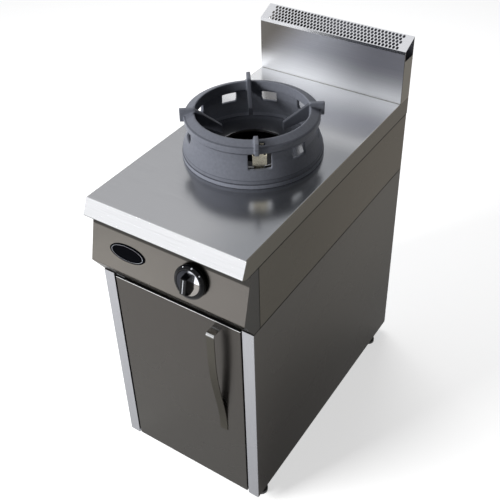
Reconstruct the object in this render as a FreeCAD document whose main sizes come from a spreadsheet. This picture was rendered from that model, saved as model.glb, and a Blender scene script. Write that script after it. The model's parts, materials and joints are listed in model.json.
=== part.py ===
import FreeCAD, Part
import math
import os
import Sketcher

# Free-standing gas wok range on a cupboard stand, in millimetres.
# +Z is up and the front of the range faces -Y. The origin is on the floor, under the middle of the range.

doc = FreeCAD.newDocument("WokRange")
sheet = doc.addObject("Spreadsheet::Sheet", "Sizes")

SIZES = (
    # cabinet as a whole
    ("overall_width", 400, "outside width of worktop, side panels and flue"),
    ("worktop_height", 800, "floor to worktop surface"),
    ("foot_clearance", 30, "floor to lower edge of the stand"),
    ("module_height", 211, "worktop surface down to the joint between module and stand"),
    ("joint_gap", 0.6, "visible gap between two sheet-metal pieces"),
    ("cooking_depth", 684, "front edge of worktop to front of flue"),
    ("flue_depth", 46, "front to back of the flue box"),
    ("rear_setback", 3, "back panels behind the flue's rear face"),
    # worktop
    ("worktop_gauge", 1.5, "sheet thickness of the worktop"),
    ("side_lip_drop", 46, "height of the lips at both sides"),
    ("front_lip_drop", 38, "height of the sloping front lip"),
    ("front_lip_reach", 17, "how far the front lip leans forward"),
    ("front_lip_return", 10, "width of the strip folded back under the front lip"),
    ("worktop_edge_radius", 3, "rounding along the worktop's outer edges"),
    ("burner_hole_radius", 80, "outside radius of the raised collar round the burner hole"),
    ("collar_height", 4, "collar above the worktop"),
    ("collar_wall", 1.5, "thickness of the collar"),
    ("burner_depth", 332.5, "front edge of worktop to the burner's centre"),
    ("flue_slot_length", 340, "opening in the worktop under the flue, across"),
    ("flue_slot_width", 30, "opening in the worktop under the flue, front to back"),
    # control panel
    ("panel_gauge", 1.2, "sheet thickness of panels"),
    ("panel_tilt", 14, "lean of the control panel from vertical, in degrees"),
    ("panel_foot_drop", 161, "worktop surface down to the panel's lower edge"),
    ("panel_foot_reach", 15.5, "panel's lower edge in front of the worktop's front edge"),
    ("cheek_depth", 41, "worktop's front edge to the rear edge of the panel's cheeks"),
    ("panel_undercut", 17, "worktop's front edge back to the foot of the undercut"),
    ("panel_neck_rise", 40, "strip of the panel that runs up behind the front lip"),
    ("knob_inset", 133, "panel's right end to the knob's axis"),
    ("knob_climb", 54, "knob centre above the panel's lower edge, along the panel"),
    ("badge_inset", 98, "panel's left end to the badge's middle"),
    ("badge_climb", 51, "badge centre above the panel's lower edge, along the panel"),
    ("badge_length", 94, "long axis of the oval badge"),
    ("badge_height", 38, "short axis of the oval badge"),
    ("badge_gauge", 2, "thickness of the badge"),
    # knob and gas tap
    ("skirt_radius", 38, "largest radius of the knob"),
    ("skirt_height", 11, "height of the knob's skirt"),
    ("skirt_bevel", 5, "bevel round the skirt"),
    ("grip_length", 60, "length of the grip bar across the knob"),
    ("grip_width", 17, "width of the grip bar at its foot"),
    ("grip_draft_angle", 7, "taper of the grip bar, in degrees"),
    ("grip_rise", 19, "grip bar above the skirt"),
    ("knob_gap", 4.5, "gap between panel and knob with the knob out"),
    ("spindle_radius", 4, "radius of the tap spindle"),
    ("spindle_grip", 12, "depth of the spindle in the knob"),
    ("running_gap", 0.3, "clearance round pieces that move"),
    ("tap_width", 30, "side of the tap's square body"),
    ("tap_length", 44, "length of the tap body behind the panel"),
    ("bonnet_width", 36, "side of the tap's bonnet"),
    ("bonnet_gauge", 3, "thickness of the tap's bonnet"),
    ("plug_radius", 8.5, "radius of the tap's plug"),
    ("plug_depth", 11, "panel face to the top of the plug"),
    ("plug_length", 22, "length of the plug"),
    ("push_travel", 3, "how far the knob can be pushed in"),
    ("tongue_width", 3, "thickness of the driving tongue on the plug"),
    ("tongue_length", 7, "height of the driving tongue"),
    ("slot_depth", 7, "depth of the slot across the spindle's end"),
    ("spigot_width", 14, "side of the tap's gas inlet"),
    ("spigot_depth", 26, "panel face to the gas inlet's axis"),
    # gas pipes
    ("rail_radius", 9, "outside radius of the gas rail"),
    ("rail_drop", 39, "tap axis down to the gas rail"),
    ("rail_inset", 40, "range's right side to the gas rail's long run"),
    ("rail_bend", 26, "bend radius of the gas rail"),
    ("rail_overrun", 24, "gas rail past the tap, to its capped end"),
    ("inlet_radius", 10.48, "outside radius of the threaded gas inlet"),
    ("inlet_bore", 7.5, "bore radius of the gas inlet"),
    ("inlet_reach", 25, "gas inlet behind the back panel"),
    ("inlet_socket", 14, "radius of the socket that joins rail and inlet"),
    ("inlet_shoulder", 2, "socket behind the back panel, where the thread starts"),
    ("saddle_gap", 0.05, "clearance between tap and gas rail"),
    ("feed_radius", 5, "outside radius of the pipe from tap to injector"),
    ("feed_bend", 14, "bend radius of that pipe"),
    ("feed_run", 28, "straight stretch at both ends of that pipe"),
    # burner
    ("burner_drop", 18, "top of burner below the worktop"),
    ("burner_radius", 62, "radius of the burner's cap ring"),
    ("burner_cap_height", 14, "height of the cap ring"),
    ("burner_cap_bore", 24, "radius of the air opening through the burner"),
    ("port_count", 12, "flame ports round the cap"),
    ("port_width", 6, "width of a flame port"),
    ("port_depth", 5, "height of a flame port"),
    ("burner_bowl_depth", 34, "height of the burner bowl"),
    ("burner_wall", 5, "wall of the burner bowl"),
    ("venturi_radius", 15, "outside radius of the mixing tube"),
    ("venturi_bore", 11, "bore radius of the mixing tube"),
    ("venturi_length", 84, "mixing tube in front of the burner bowl"),
    ("injector_radius", 9, "radius of the injector holder"),
    ("injector_gap", 7, "air gap between injector and mixing tube"),
    ("injector_length", 18, "length of the injector holder"),
    ("burner_rail_spread", 42, "burner axis to each support rail"),
    ("burner_rail_width", 18, "width of a support rail"),
    ("burner_rail_height", 22, "height of a support rail"),
    # wok ring
    ("ring_turn_angle", 36.3, "turn of the wok ring about its axis, in degrees"),
    ("ring_base_radius", 158.5, "radius of the ring's foot"),
    ("ring_base_band", 10, "height of the band round the foot"),
    ("ring_bead_drop", 1.7, "step from the foot band to the bead above it"),
    ("ring_bead_height", 8, "height of the bead above the foot band"),
    ("ring_waist_radius", 143, "outside radius at the waist"),
    ("ring_waist_height", 58, "lower end of the waist"),
    ("ring_neck_height", 76, "upper end of the waist"),
    ("ring_rim_radius", 149.5, "outside radius of the rim"),
    ("ring_rim_foot", 82, "lower edge of the rim's outer face"),
    ("ring_rim_shoulder", 95, "upper edge of the rim's outer face"),
    ("ring_rim_crest", 104, "crest of the rim, at its mouth"),
    ("ring_crest_width", 3, "width of the flat along the crest"),
    ("ring_mouth_radius", 126, "inside radius of the rim"),
    ("ring_lip_foot", 81, "lower edge of the rim's inner face"),
    ("ring_wall", 8, "wall of the casting"),
    ("window_count", 8, "places of air windows, the first of them under the notch"),
    ("window_spacing_angle", 40, "from window to window round the ring, in degrees"),
    ("window_width", 36, "width of an air window"),
    ("window_floor", 48, "lower edge of the air windows"),
    ("window_height", 25, "height of the air windows"),
    ("notch_width", 49, "width of the lighting notch"),
    ("notch_shift", 6.5, "notch and pilot bracket to the right of the front arm"),
    ("notch_floor", 42, "lower edge of the lighting notch"),
    ("notch_ceiling", 78, "upper edge of the lighting notch"),
    ("slit_inner", 134.5, "inner radius of the slit in the rim"),
    ("slit_outer", 141, "outer radius of the slit in the rim"),
    ("slit_length", 13, "length of the slit in the rim"),
    ("arm_thickness", 9.5, "thickness of the four arms"),
    ("arm_count", 4, "arms that carry the wok"),
    ("arm_reach", 158.5, "outer end of the arms"),
    ("arm_top", 112, "height of the arms' flat tops"),
    ("arm_hook", 82, "underside of the arms' outer ends"),
    ("arm_flat_end", 127, "inner end of the flat tops"),
    ("arm_tip_radius", 67, "inner ends of the arms"),
    ("arm_tip_top", 67, "top of the inner ends"),
    ("arm_tip_foot", 48, "underside of the inner ends"),
    ("arm_root_foot", 74, "height where the arms' undersides meet the rim"),
    # pilot assembly
    ("bracket_radius", 136, "pilot bracket's upright from the burner's axis"),
    ("bracket_gauge", 1.5, "sheet thickness of the pilot bracket"),
    ("bracket_stem_width", 14, "width of the bracket's stem"),
    ("bracket_cup_width", 30, "width of the bracket's cup"),
    ("bracket_cup_floor", 46, "lower edge of the cup"),
    ("bracket_cup_top", 70, "upper edge of the cup"),
    ("bracket_cup_depth", 12, "depth of the cup's wings"),
    ("bracket_tongue_top", 99, "upper end of the tongue in the rim's slit"),
    ("bracket_tongue_width", 9, "width of that tongue"),
    ("bracket_foot_length", 22, "foot of the bracket on the worktop"),
    ("pilot_radius", 5, "radius of the pilot burner"),
    ("pilot_circle", 130, "pilot burner from the burner's axis"),
    ("pilot_foot", 26, "lower end of the pilot burner above the worktop"),
    ("pilot_height", 30, "height of the pilot burner"),
    ("probe_radius", 3, "radius of the thermocouple"),
    ("probe_spacing", 14, "thermocouple beside the pilot burner"),
    ("lead_radius", 2, "radius of pilot tube and thermocouple lead"),
    ("lead_circle", 70, "where tube and lead come up through the burner hole"),
    ("lead_rise", 12, "height of tube and lead over the collar"),
    ("lead_depth", 58, "how far tube and lead go down before they turn to the tap"),
    ("lead_union", 10, "tube and lead beside the tap's axis, where they enter the tap"),
    ("lead_spacing", 5.5, "tube above the axis and lead below it, where they enter the tap"),
    ("lead_run", 20, "straight stretch of tube and lead behind the tap"),
    # flue
    ("flue_front_rise", 138, "front of the flue above the worktop"),
    ("flue_side_rise", 113, "sides of the flue above the worktop"),
    ("cap_tilt", 23.5, "slope of the perforated cap, in degrees"),
    ("cap_gauge", 1, "sheet thickness of the cap"),
    ("cap_front_flange", 7, "flange of the cap over the flue's front"),
    ("cap_margin", 20, "plain strip at each end of the cap"),
    ("cap_column_pitch", 17.5, "slot to slot along a row"),
    ("cap_row_pitch", 9.2, "row to row"),
    ("cap_slot_width", 6, "width of a slot"),
    ("cap_slot_length", 10.5, "length of a slot"),
    ("cap_first_row", 7, "front edge of the cap to the first row's centre"),
    ("baffle_drop", 20, "top of the inner flue baffle below the flue's sides"),
    ("baffle_height", 60, "height of the inner flue baffle"),
    # stand
    ("stand_setback", 15, "worktop's front edge back to the stand's front"),
    ("post_width", 28, "visible width of the front posts"),
    ("post_depth", 26, "front to back of the front posts"),
    ("post_gauge", 1.5, "sheet thickness of posts and rails"),
    ("flange_width", 14, "width of folded flanges"),
    ("floor_rise", 29, "cupboard floor above the stand's lower edge"),
    ("top_rail_height", 38, "height of the rail above the door opening"),
    ("top_rail_depth", 26, "front to back of that rail"),
    # door
    ("door_gap", 4.5, "gap beside the door"),
    ("door_top_gap", 6, "gap above the door"),
    ("door_foot_gap", 3.2, "gap between door and the stand's lower edge"),
    ("door_thickness", 20, "thickness of the door"),
    ("door_swing_room", 4, "room behind the door for its rear corner as it swings"),
    ("door_gauge", 1, "sheet thickness of the door"),
    ("door_edge_radius", 1.5, "rounding along the door's front edges"),
    ("hinge_side_inset", 7.5, "hinge axis from the door's left edge"),
    ("hinge_face_inset", 8, "hinge axis from the door's face"),
    ("pin_radius", 3, "radius of the hinge pins"),
    ("pin_clearance", 0.1, "clearance of the pins in their bushes"),
    ("pin_length", 16, "hinge pin inside the door"),
    ("bush_radius", 5.5, "radius of the hinge bushes"),
    ("bush_length", 14, "length of the hinge bushes"),
    ("hinge_plate_gauge", 2.5, "thickness of the hinge plates"),
    ("hinge_plate_width", 15, "width of the hinge plates"),
    ("catch_inset", 14.5, "door's right edge to the door catch"),
    ("catch_length", 46, "length of the door catch"),
    ("catch_height", 14, "height of the catch's magnet block"),
    ("catch_depth", 13, "depth of the door catch"),
    ("strike_gauge", 1, "thickness of the strike plate"),
    # handle
    ("handle_width", 20, "width of the handle strip"),
    ("handle_gauge", 2, "thickness of the handle strip"),
    ("handle_reach", 30, "handle in front of the door"),
    ("handle_inset", 47, "door's right edge to the handle"),
    ("handle_drop", 12, "door's top to the handle's top"),
    ("handle_length", 335, "height of the handle"),
    ("handle_bend", 5, "bend at the handle's top"),
    ("handle_straight", 70, "straight stretch below the bend"),
    ("handle_tail", 12, "flat tail welded to the door"),
    # feet
    ("foot_side_inset", 19, "foot axis from the side panel"),
    ("foot_front_inset", 42, "foot axis from the stand's front"),
    ("foot_rear_inset", 69, "foot axis from the stand's back"),
    ("foot_pad_radius", 17, "radius of the foot's pad"),
    ("foot_neck_radius", 12, "corner radius of the foot's hexagonal neck"),
    ("foot_pad_height", 8, "height of the foot's pad"),
    ("foot_stem_radius", 5, "radius of the threaded stem"),
    ("foot_stem_length", 24, "stem above the foot bracket's underside"),
    ("foot_plate_size", 27, "side of a foot bracket"),
    ("foot_plate_gauge", 3, "thickness of a foot bracket"),
    ("weld_nut_radius", 9, "radius of the nuts welded to the foot brackets"),
    ("weld_nut_height", 6, "height of those nuts"),
)


class Size:
    """A size or place: its number, and the expression that ties it to the sheet."""

    def __init__(self, text, number):
        self.text = text
        self.number = float(number)

    def __add__(self, other):
        other = as_size(other)
        return Size(f"({self.text} + {other.text})", self.number + other.number)

    def __sub__(self, other):
        other = as_size(other)
        return Size(f"({self.text} - {other.text})", self.number - other.number)

    def __mul__(self, other):
        other = as_size(other)
        return Size(f"({self.text} * {other.text})", self.number * other.number)

    def __truediv__(self, other):
        other = as_size(other)
        return Size(f"({self.text} / {other.text})", self.number / other.number)

    def __neg__(self):
        return Size(f"(0 - {self.text})", -self.number)


def as_size(value):
    return value if isinstance(value, Size) else Size(f"({value})", value)


def sine(degrees):
    return Size(f"sin({degrees.text} * 1deg)", math.sin(math.radians(degrees.number)))


def cosine(degrees):
    return Size(f"cos({degrees.text} * 1deg)", math.cos(math.radians(degrees.number)))


def tangent(degrees):
    return Size(f"tan({degrees.text} * 1deg)", math.tan(math.radians(degrees.number)))


SIZE = {}
for row, (name, number, meaning) in enumerate(SIZES, start=1):
    sheet.set(f"A{row}", meaning)
    sheet.set(f"B{row}", str(number))
    sheet.setAlias(f"B{row}", name)
    SIZE[name] = Size(f"Sizes.{name}", number)
doc.recompute()


def size(name):
    return SIZE[name]


ZERO = as_size(0)
pieces = []


def keep(item, label):
    """Marks an object as a piece of the range, under the name of its file."""
    item.Label = label
    pieces.append(item)
    return item


def bind(item, **properties):
    """Ties properties to sizes; a double underscore stands for a dot."""
    for path, amount in properties.items():
        item.setExpression(path.replace("__", "."), as_size(amount).text)


def place(item, x=ZERO, y=ZERO, z=ZERO, axis=(0, 0, 1), angle=None):
    if angle is not None:
        turn = FreeCAD.Rotation(FreeCAD.Vector(*axis), as_size(angle).number)
        item.Placement = FreeCAD.Placement(FreeCAD.Vector(), turn)
        bind(item, Placement__Rotation__Angle=angle)
    bind(item, Placement__Base__x=x, Placement__Base__y=y, Placement__Base__z=z)
    return item


def block(name, low, high):
    """A box from its low corner to its high corner."""
    item = doc.addObject("Part::Box", name)
    spans = [as_size(b) - a for a, b in zip(low, high)]
    bind(item, Length=spans[0], Width=spans[1], Height=spans[2])
    return place(item, *low)


def rod(name, radius, length):
    item = doc.addObject("Part::Cylinder", name)
    bind(item, Radius=radius, Height=length)
    return item


def cut(name, base, *tools):
    for index, tool in enumerate(tools):
        item = doc.addObject("Part::Cut", f"{name}_{index}")
        item.Base, item.Tool = base, tool
        base = item
    return base


def fuse(name, *shapes):
    item = doc.addObject("Part::MultiFuse", name)
    item.Shapes = list(shapes)
    item.Refine = True
    return item


def group(name, *shapes):
    item = doc.addObject("Part::Compound", name)
    item.Links = list(shapes)
    return item


def mirrored(name, source):
    """The left-hand twin of a right-hand piece."""
    item = doc.addObject("Part::Mirroring", name)
    item.Source = source
    item.Normal = FreeCAD.Vector(1, 0, 0)
    return item


def new_body(name):
    return doc.addObject("PartDesign::Body", name)


def new_sketch(body, plane, offset=None):
    sketch = body.newObject("Sketcher::SketchObject", f"{body.Name}_sketch")
    face = [f for f in body.Origin.OriginFeatures if f.Role == plane][0]
    sketch.AttachmentSupport = [(face, "")]
    sketch.MapMode = "FlatFace"
    if offset is not None:
        sketch.setExpression("AttachmentOffset.Base.z", as_size(offset).text)
    return sketch


def pin_point(sketch, geometry, end, x, y):
    """Ties one point of a sketch to two sizes, measured from the sketch's origin."""
    for kind, amount in (("DistanceX", x), ("DistanceY", y)):
        link = Sketcher.Constraint(kind, -1, 1, geometry, end, amount.number)
        index = sketch.addConstraint(link)
        sketch.setExpression(f"Constraints[{index}]", amount.text)


def polygon(sketch, points):
    """A closed outline through corners that are each tied to sizes."""
    corners = [(as_size(x), as_size(y)) for x, y in points]
    first = sketch.GeometryCount
    count = len(corners)
    for index, (x, y) in enumerate(corners):
        nx, ny = corners[(index + 1) % count]
        start = FreeCAD.Vector(x.number, y.number, 0)
        end = FreeCAD.Vector(nx.number, ny.number, 0)
        sketch.addGeometry(Part.LineSegment(start, end), False)
    for index in range(count):
        after = first + (index + 1) % count
        sketch.addConstraint(Sketcher.Constraint("Coincident", first + index, 2, after, 1))
    for index, (x, y) in enumerate(corners):
        pin_point(sketch, first + index, 1, x, y)
    return sketch


def circle(sketch, x, y, radius):
    x, y, radius = as_size(x), as_size(y), as_size(radius)
    centre = FreeCAD.Vector(x.number, y.number, 0)
    round_edge = Part.Circle(centre, FreeCAD.Vector(0, 0, 1), radius.number)
    index = sketch.addGeometry(round_edge, False)
    link = sketch.addConstraint(Sketcher.Constraint("Radius", index, radius.number))
    sketch.setExpression(f"Constraints[{link}]", radius.text)
    pin_point(sketch, index, 3, x, y)
    return sketch


def hexagon(sketch, x, y, radius):
    """A hexagon whose corners lie on a circle."""
    corners = []
    for index in range(6):
        angle = as_size(360 / 6 * index)
        corners.append((x + radius * cosine(angle), y + radius * sine(angle)))
    return polygon(sketch, corners)


def rectangle(sketch, x0, y0, x1, y1):
    return polygon(sketch, ((x0, y0), (x1, y0), (x1, y1), (x0, y1)))


def pad(body, sketch, length, both=False, back=False, taper=None):
    item = body.newObject("PartDesign::Pad", f"{body.Name}_pad")
    item.Profile = sketch
    item.Midplane = both
    item.Reversed = back
    bind(item, Length=length)
    if taper is not None:
        bind(item, TaperAngle=taper)
    return item


def pocket(body, sketch, length, both=False, back=False):
    item = body.newObject("PartDesign::Pocket", f"{body.Name}_pocket")
    item.Profile = sketch
    item.Midplane = both
    item.Reversed = back
    bind(item, Length=length)
    return item


def revolve(body, sketch):
    """Turns an outline drawn in the XZ plane about the body's Z axis."""
    item = body.newObject("PartDesign::Revolution", f"{body.Name}_turned")
    item.Profile = sketch
    item.ReferenceAxis = (sketch, ["V_Axis"])
    item.Angle = 360
    return item


def ring_pattern(body, feature, count, spacing=None):
    """Copies a feature round the body's Z axis, evenly or by a given angle each."""
    item = body.newObject("PartDesign::PolarPattern", f"{body.Name}_pattern")
    axis = [f for f in body.Origin.OriginFeatures if f.Role == "Z_Axis"][0]
    item.Originals = [feature]
    item.Axis = (axis, [""])
    count = as_size(count)
    if spacing is None:
        item.Angle = 360
    else:
        bind(item, Angle=spacing * (count - 1))
    item.setExpression("Occurrences", count.text)
    body.Tip = item
    return item


def grid_pattern(body, feature, columns, column_pitch, rows, row_pitch):
    """Copies a cut along the body's X axis and then along its Y axis."""
    item = body.newObject("PartDesign::LinearPattern", f"{body.Name}_grid")
    across = [f for f in body.Origin.OriginFeatures if f.Role == "X_Axis"][0]
    along = [f for f in body.Origin.OriginFeatures if f.Role == "Y_Axis"][0]
    item.Originals = [feature]
    item.Direction = (across, [""])
    item.Direction2 = (along, [""])
    item.Mode = "Spacing"
    item.Mode2 = "Spacing"
    item.Occurrences = columns
    item.Occurrences2 = rows
    item.setExpression("Offset", column_pitch.text)
    item.setExpression("Offset2", row_pitch.text)
    body.Tip = item
    return item


def soften(body, radius, wanted, kind="Fillet"):
    """Rounds or bevels the edges of the body's last feature that wanted() picks."""
    doc.recompute()
    tip = body.Tip
    names = []
    for index, edge in enumerate(tip.Shape.Edges, start=1):
        if wanted(edge):
            names.append(f"Edge{index}")
    item = body.newObject(f"PartDesign::{kind}", f"{body.Name}_{kind.lower()}")
    item.Base = (tip, names)
    if kind == "Fillet":
        bind(item, Radius=radius)
    else:
        bind(item, Size=radius)
    return item


def near(a, b):
    return abs(a - b) < 0.01


def tube(name, points, radius, bend=None):
    """A round bar along straight runs. Each bend is two mitred steps, or one without a radius."""
    corners = [FreeCAD.Vector(*(as_size(c).number for c in point)) for point in points]
    stops = [corners[0]]
    for before, corner, after in zip(corners, corners[1:], corners[2:]):
        arriving = (corner - before).normalize()
        leaving = (after - corner).normalize()
        if bend is None:
            stops.append(corner)
            continue
        reach = bend.number * math.tan(arriving.getAngle(leaving) / 2)
        stops.append(corner - arriving * reach)
        stops.append(corner + leaving * reach)
    stops.append(corners[-1])
    section = Part.Circle(stops[0], stops[1] - stops[0], radius.number)
    item = doc.addObject("Part::Feature", name)
    path = Part.makePolygon(stops)
    item.Shape = path.makePipeShell([Part.Wire(section.toShape())], True, False, 1)
    return item


# ---------------------------------------------------------------- main places
half_width = size("overall_width") / 2
top = size("worktop_height")
seam = top - size("module_height")
stand_foot = size("foot_clearance")
gauge = size("panel_gauge")
tilt = size("panel_tilt")

knob_centre_reach = size("panel_foot_reach") - size("knob_climb") * sine(tilt)
knob_stack = size("knob_gap") + size("skirt_height") + size("grip_rise")
front_reach = (
    knob_centre_reach
    + knob_stack * cosine(tilt)
    + size("grip_length") / 2 * sine(tilt)
)
total_depth = size("cooking_depth") + size("flue_depth")
back_reach = total_depth - size("rear_setback") + size("inlet_reach")
front = (front_reach - back_reach) / 2  # the worktop's front edge

flue_front = front + size("cooking_depth")
flue_back = front + total_depth
body_back = flue_back - size("rear_setback")
cheek_back = front + size("cheek_depth")
stand_front = front + size("stand_setback")
panel_foot_y = front - size("panel_foot_reach")
panel_foot_z = top - size("panel_foot_drop")
side_lip_foot = top - size("side_lip_drop")
burner_y = front + size("burner_depth")
knob_x = half_width - size("knob_inset")
badge_x = size("badge_inset") - half_width
rail_x = half_width - size("rail_inset")


def panel_face(z):
    """The control panel's face at a height."""
    return panel_foot_y + (z - panel_foot_z) * tangent(tilt)


# ---------------------------------------------------------------- worktop
def make_worktop():
    body = new_body("worktop_body")
    wall = size("worktop_gauge")
    lip_slope = size("front_lip_reach") / size("front_lip_drop")
    lip_foot = front - size("front_lip_reach")
    lip_bottom = top - size("front_lip_drop")
    outer = new_sketch(body, "YZ_Plane")
    polygon(
        outer,
        (
            (front, top),
            (flue_back, top),
            (flue_back, side_lip_foot),
            (front, side_lip_foot),
            (lip_foot, lip_bottom),
        ),
    )
    pad(body, outer, size("overall_width"), both=True)

    def outer_edge(edge):
        box = edge.BoundBox
        level = near(box.ZMin, top.number) and near(box.ZMax, top.number)
        return level and box.YMax < flue_back.number - 1 or level and box.XLength < 0.01

    soften(body, size("worktop_edge_radius"), outer_edge)
    hollow = new_sketch(body, "YZ_Plane")
    under = top - wall
    inner_front = front + wall
    inner_lip = lip_foot + wall
    back_wall = flue_back - wall
    polygon(
        hollow,
        (
            (inner_front, under),
            (back_wall, under),
            (back_wall, side_lip_foot - wall),
            (inner_lip + size("front_lip_return"), side_lip_foot - wall),
            (inner_lip + size("front_lip_return"), lip_bottom + wall),
            (inner_lip + wall * lip_slope, lip_bottom + wall),
        ),
    )
    pocket(body, hollow, size("overall_width") - wall * 2, both=True)
    under_lip = new_sketch(body, "YZ_Plane")
    step = size("front_lip_return") + wall
    polygon(
        under_lip,
        (
            (lip_foot - wall, lip_bottom - wall * 8),
            (lip_foot + step + wall, lip_bottom - wall * 8),
            (lip_foot + step + wall, lip_bottom),
            (lip_foot - wall, lip_bottom),
        ),
    )
    pocket(body, under_lip, size("overall_width") - wall * 2, both=True)
    hole = new_sketch(body, "XY_Plane", top + size("collar_height"))
    circle(hole, 0, burner_y, size("burner_hole_radius") - size("collar_wall"))
    collar = new_sketch(body, "XY_Plane", under)
    circle(collar, 0, burner_y, size("burner_hole_radius"))
    pad(body, collar, size("collar_height") + wall)
    pocket(body, hole, size("collar_height") + wall * 3)
    slot = new_sketch(body, "XY_Plane", top)
    slot_half = size("flue_slot_length") / 2
    slot_middle = flue_front + size("flue_depth") / 2
    rectangle(
        slot,
        -slot_half,
        slot_middle - size("flue_slot_width") / 2,
        slot_half,
        slot_middle + size("flue_slot_width") / 2,
    )
    pocket(body, slot, wall * 3)
    return keep(body, "worktop")


# ---------------------------------------------------------------- control panel
def panel_frame(item, x, climb, lift=ZERO):
    """Places an item on the control panel's face, its own Z pointing out of the panel."""
    y = panel_foot_y + climb * sine(tilt) - lift * cosine(tilt)
    z = panel_foot_z + climb * cosine(tilt) + lift * sine(tilt)
    return place(item, x, y, z, (1, 0, 0), as_size(90) - tilt)


def make_control_panel():
    body = new_body("control_panel_body")
    cheek_top = side_lip_foot - size("joint_gap")
    cheek_foot = seam + size("joint_gap")
    undercut = front + size("panel_undercut")
    outer = new_sketch(body, "YZ_Plane")
    polygon(
        outer,
        (
            (panel_face(cheek_top), cheek_top),
            (cheek_back, cheek_top),
            (cheek_back, cheek_foot),
            (undercut, cheek_foot),
            (panel_foot_y, panel_foot_z),
        ),
    )
    pad(body, outer, size("overall_width"), both=True)
    hollow = new_sketch(body, "YZ_Plane")
    wall_y = gauge / cosine(tilt)
    polygon(
        hollow,
        (
            (panel_face(cheek_top + gauge) + wall_y, cheek_top + gauge),
            (cheek_back + gauge, cheek_top + gauge),
            (cheek_back + gauge, cheek_foot - gauge),
            (undercut + gauge * 2, cheek_foot - gauge),
            (panel_face(panel_foot_z + gauge / 5) + wall_y, panel_foot_z + gauge / 5),
        ),
    )
    pocket(body, hollow, size("overall_width") - gauge * 2, both=True)
    neck = new_sketch(body, "YZ_Plane")
    neck_top = cheek_top + size("panel_neck_rise")
    polygon(
        neck,
        (
            (panel_face(cheek_top), cheek_top),
            (panel_face(cheek_top) + wall_y, cheek_top),
            (panel_face(neck_top) + wall_y, neck_top),
            (panel_face(neck_top), neck_top),
        ),
    )
    neck_width = size("overall_width") - size("worktop_gauge") * 2 - size("joint_gap") * 2
    pad(body, neck, neck_width, both=True)
    drill = rod("spindle_hole", size("spindle_radius") + size("running_gap") * 3, gauge * 6)
    panel_frame(drill, knob_x, size("knob_climb"), gauge * (-3))
    return keep(cut("control_panel_cut", body, drill), "control_panel")


def make_badge():
    oval = doc.addObject("Part::Ellipse", "badge_oval")
    bind(oval, MajorRadius=size("badge_length") / 2, MinorRadius=size("badge_height") / 2)
    panel_frame(oval, badge_x, size("badge_climb"))
    plate = doc.addObject("Part::Extrusion", "badge_body")
    plate.Base = oval
    plate.DirMode = "Custom"
    plate.Dir = FreeCAD.Vector(0, -math.cos(math.radians(tilt.number)), math.sin(math.radians(tilt.number)))
    plate.Solid = True
    bind(plate, LengthFwd=size("badge_gauge"), Dir__y=-cosine(tilt), Dir__z=sine(tilt))
    return keep(plate, "badge_plate")


# ---------------------------------------------------------------- knob and tap
def make_knob():
    body = new_body("control_knob_body")
    skirt = new_sketch(body, "XZ_Plane")
    foot = size("knob_gap")
    face = foot + size("skirt_height")
    bevel = size("skirt_bevel")
    polygon(
        skirt,
        (
            (0, foot),
            (size("skirt_radius"), foot),
            (size("skirt_radius"), face - bevel),
            (size("skirt_radius") - bevel, face),
            (0, face),
        ),
    )
    revolve(body, skirt)
    crown = face + size("grip_rise")
    half_foot = size("grip_width") / 2
    half_crown = half_foot - size("grip_rise") * tangent(size("grip_draft_angle"))
    grip = new_sketch(body, "XZ_Plane")
    polygon(
        grip,
        ((-half_foot, face), (half_foot, face), (half_crown, crown), (-half_crown, crown)),
    )
    pad(body, grip, size("grip_length"), both=True)
    ends = new_sketch(body, "YZ_Plane")
    end_foot = size("grip_length") / 2
    end_crown = end_foot - size("grip_rise") * tangent(size("grip_draft_angle"))
    polygon(ends, ((end_foot, face), (end_foot + 1, crown + 1), (end_crown, crown + 1)))
    polygon(ends, ((-end_foot, face), (-end_foot - 1, crown + 1), (-end_crown, crown + 1)))
    pocket(body, ends, size("grip_width") * 2, both=True)
    bore = new_sketch(body, "XY_Plane", foot)
    circle(bore, 0, 0, size("spindle_radius"))
    pocket(body, bore, size("spindle_grip"), back=True)
    panel_frame(body, knob_x, size("knob_climb"))
    return keep(body, "control_knob")


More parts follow.
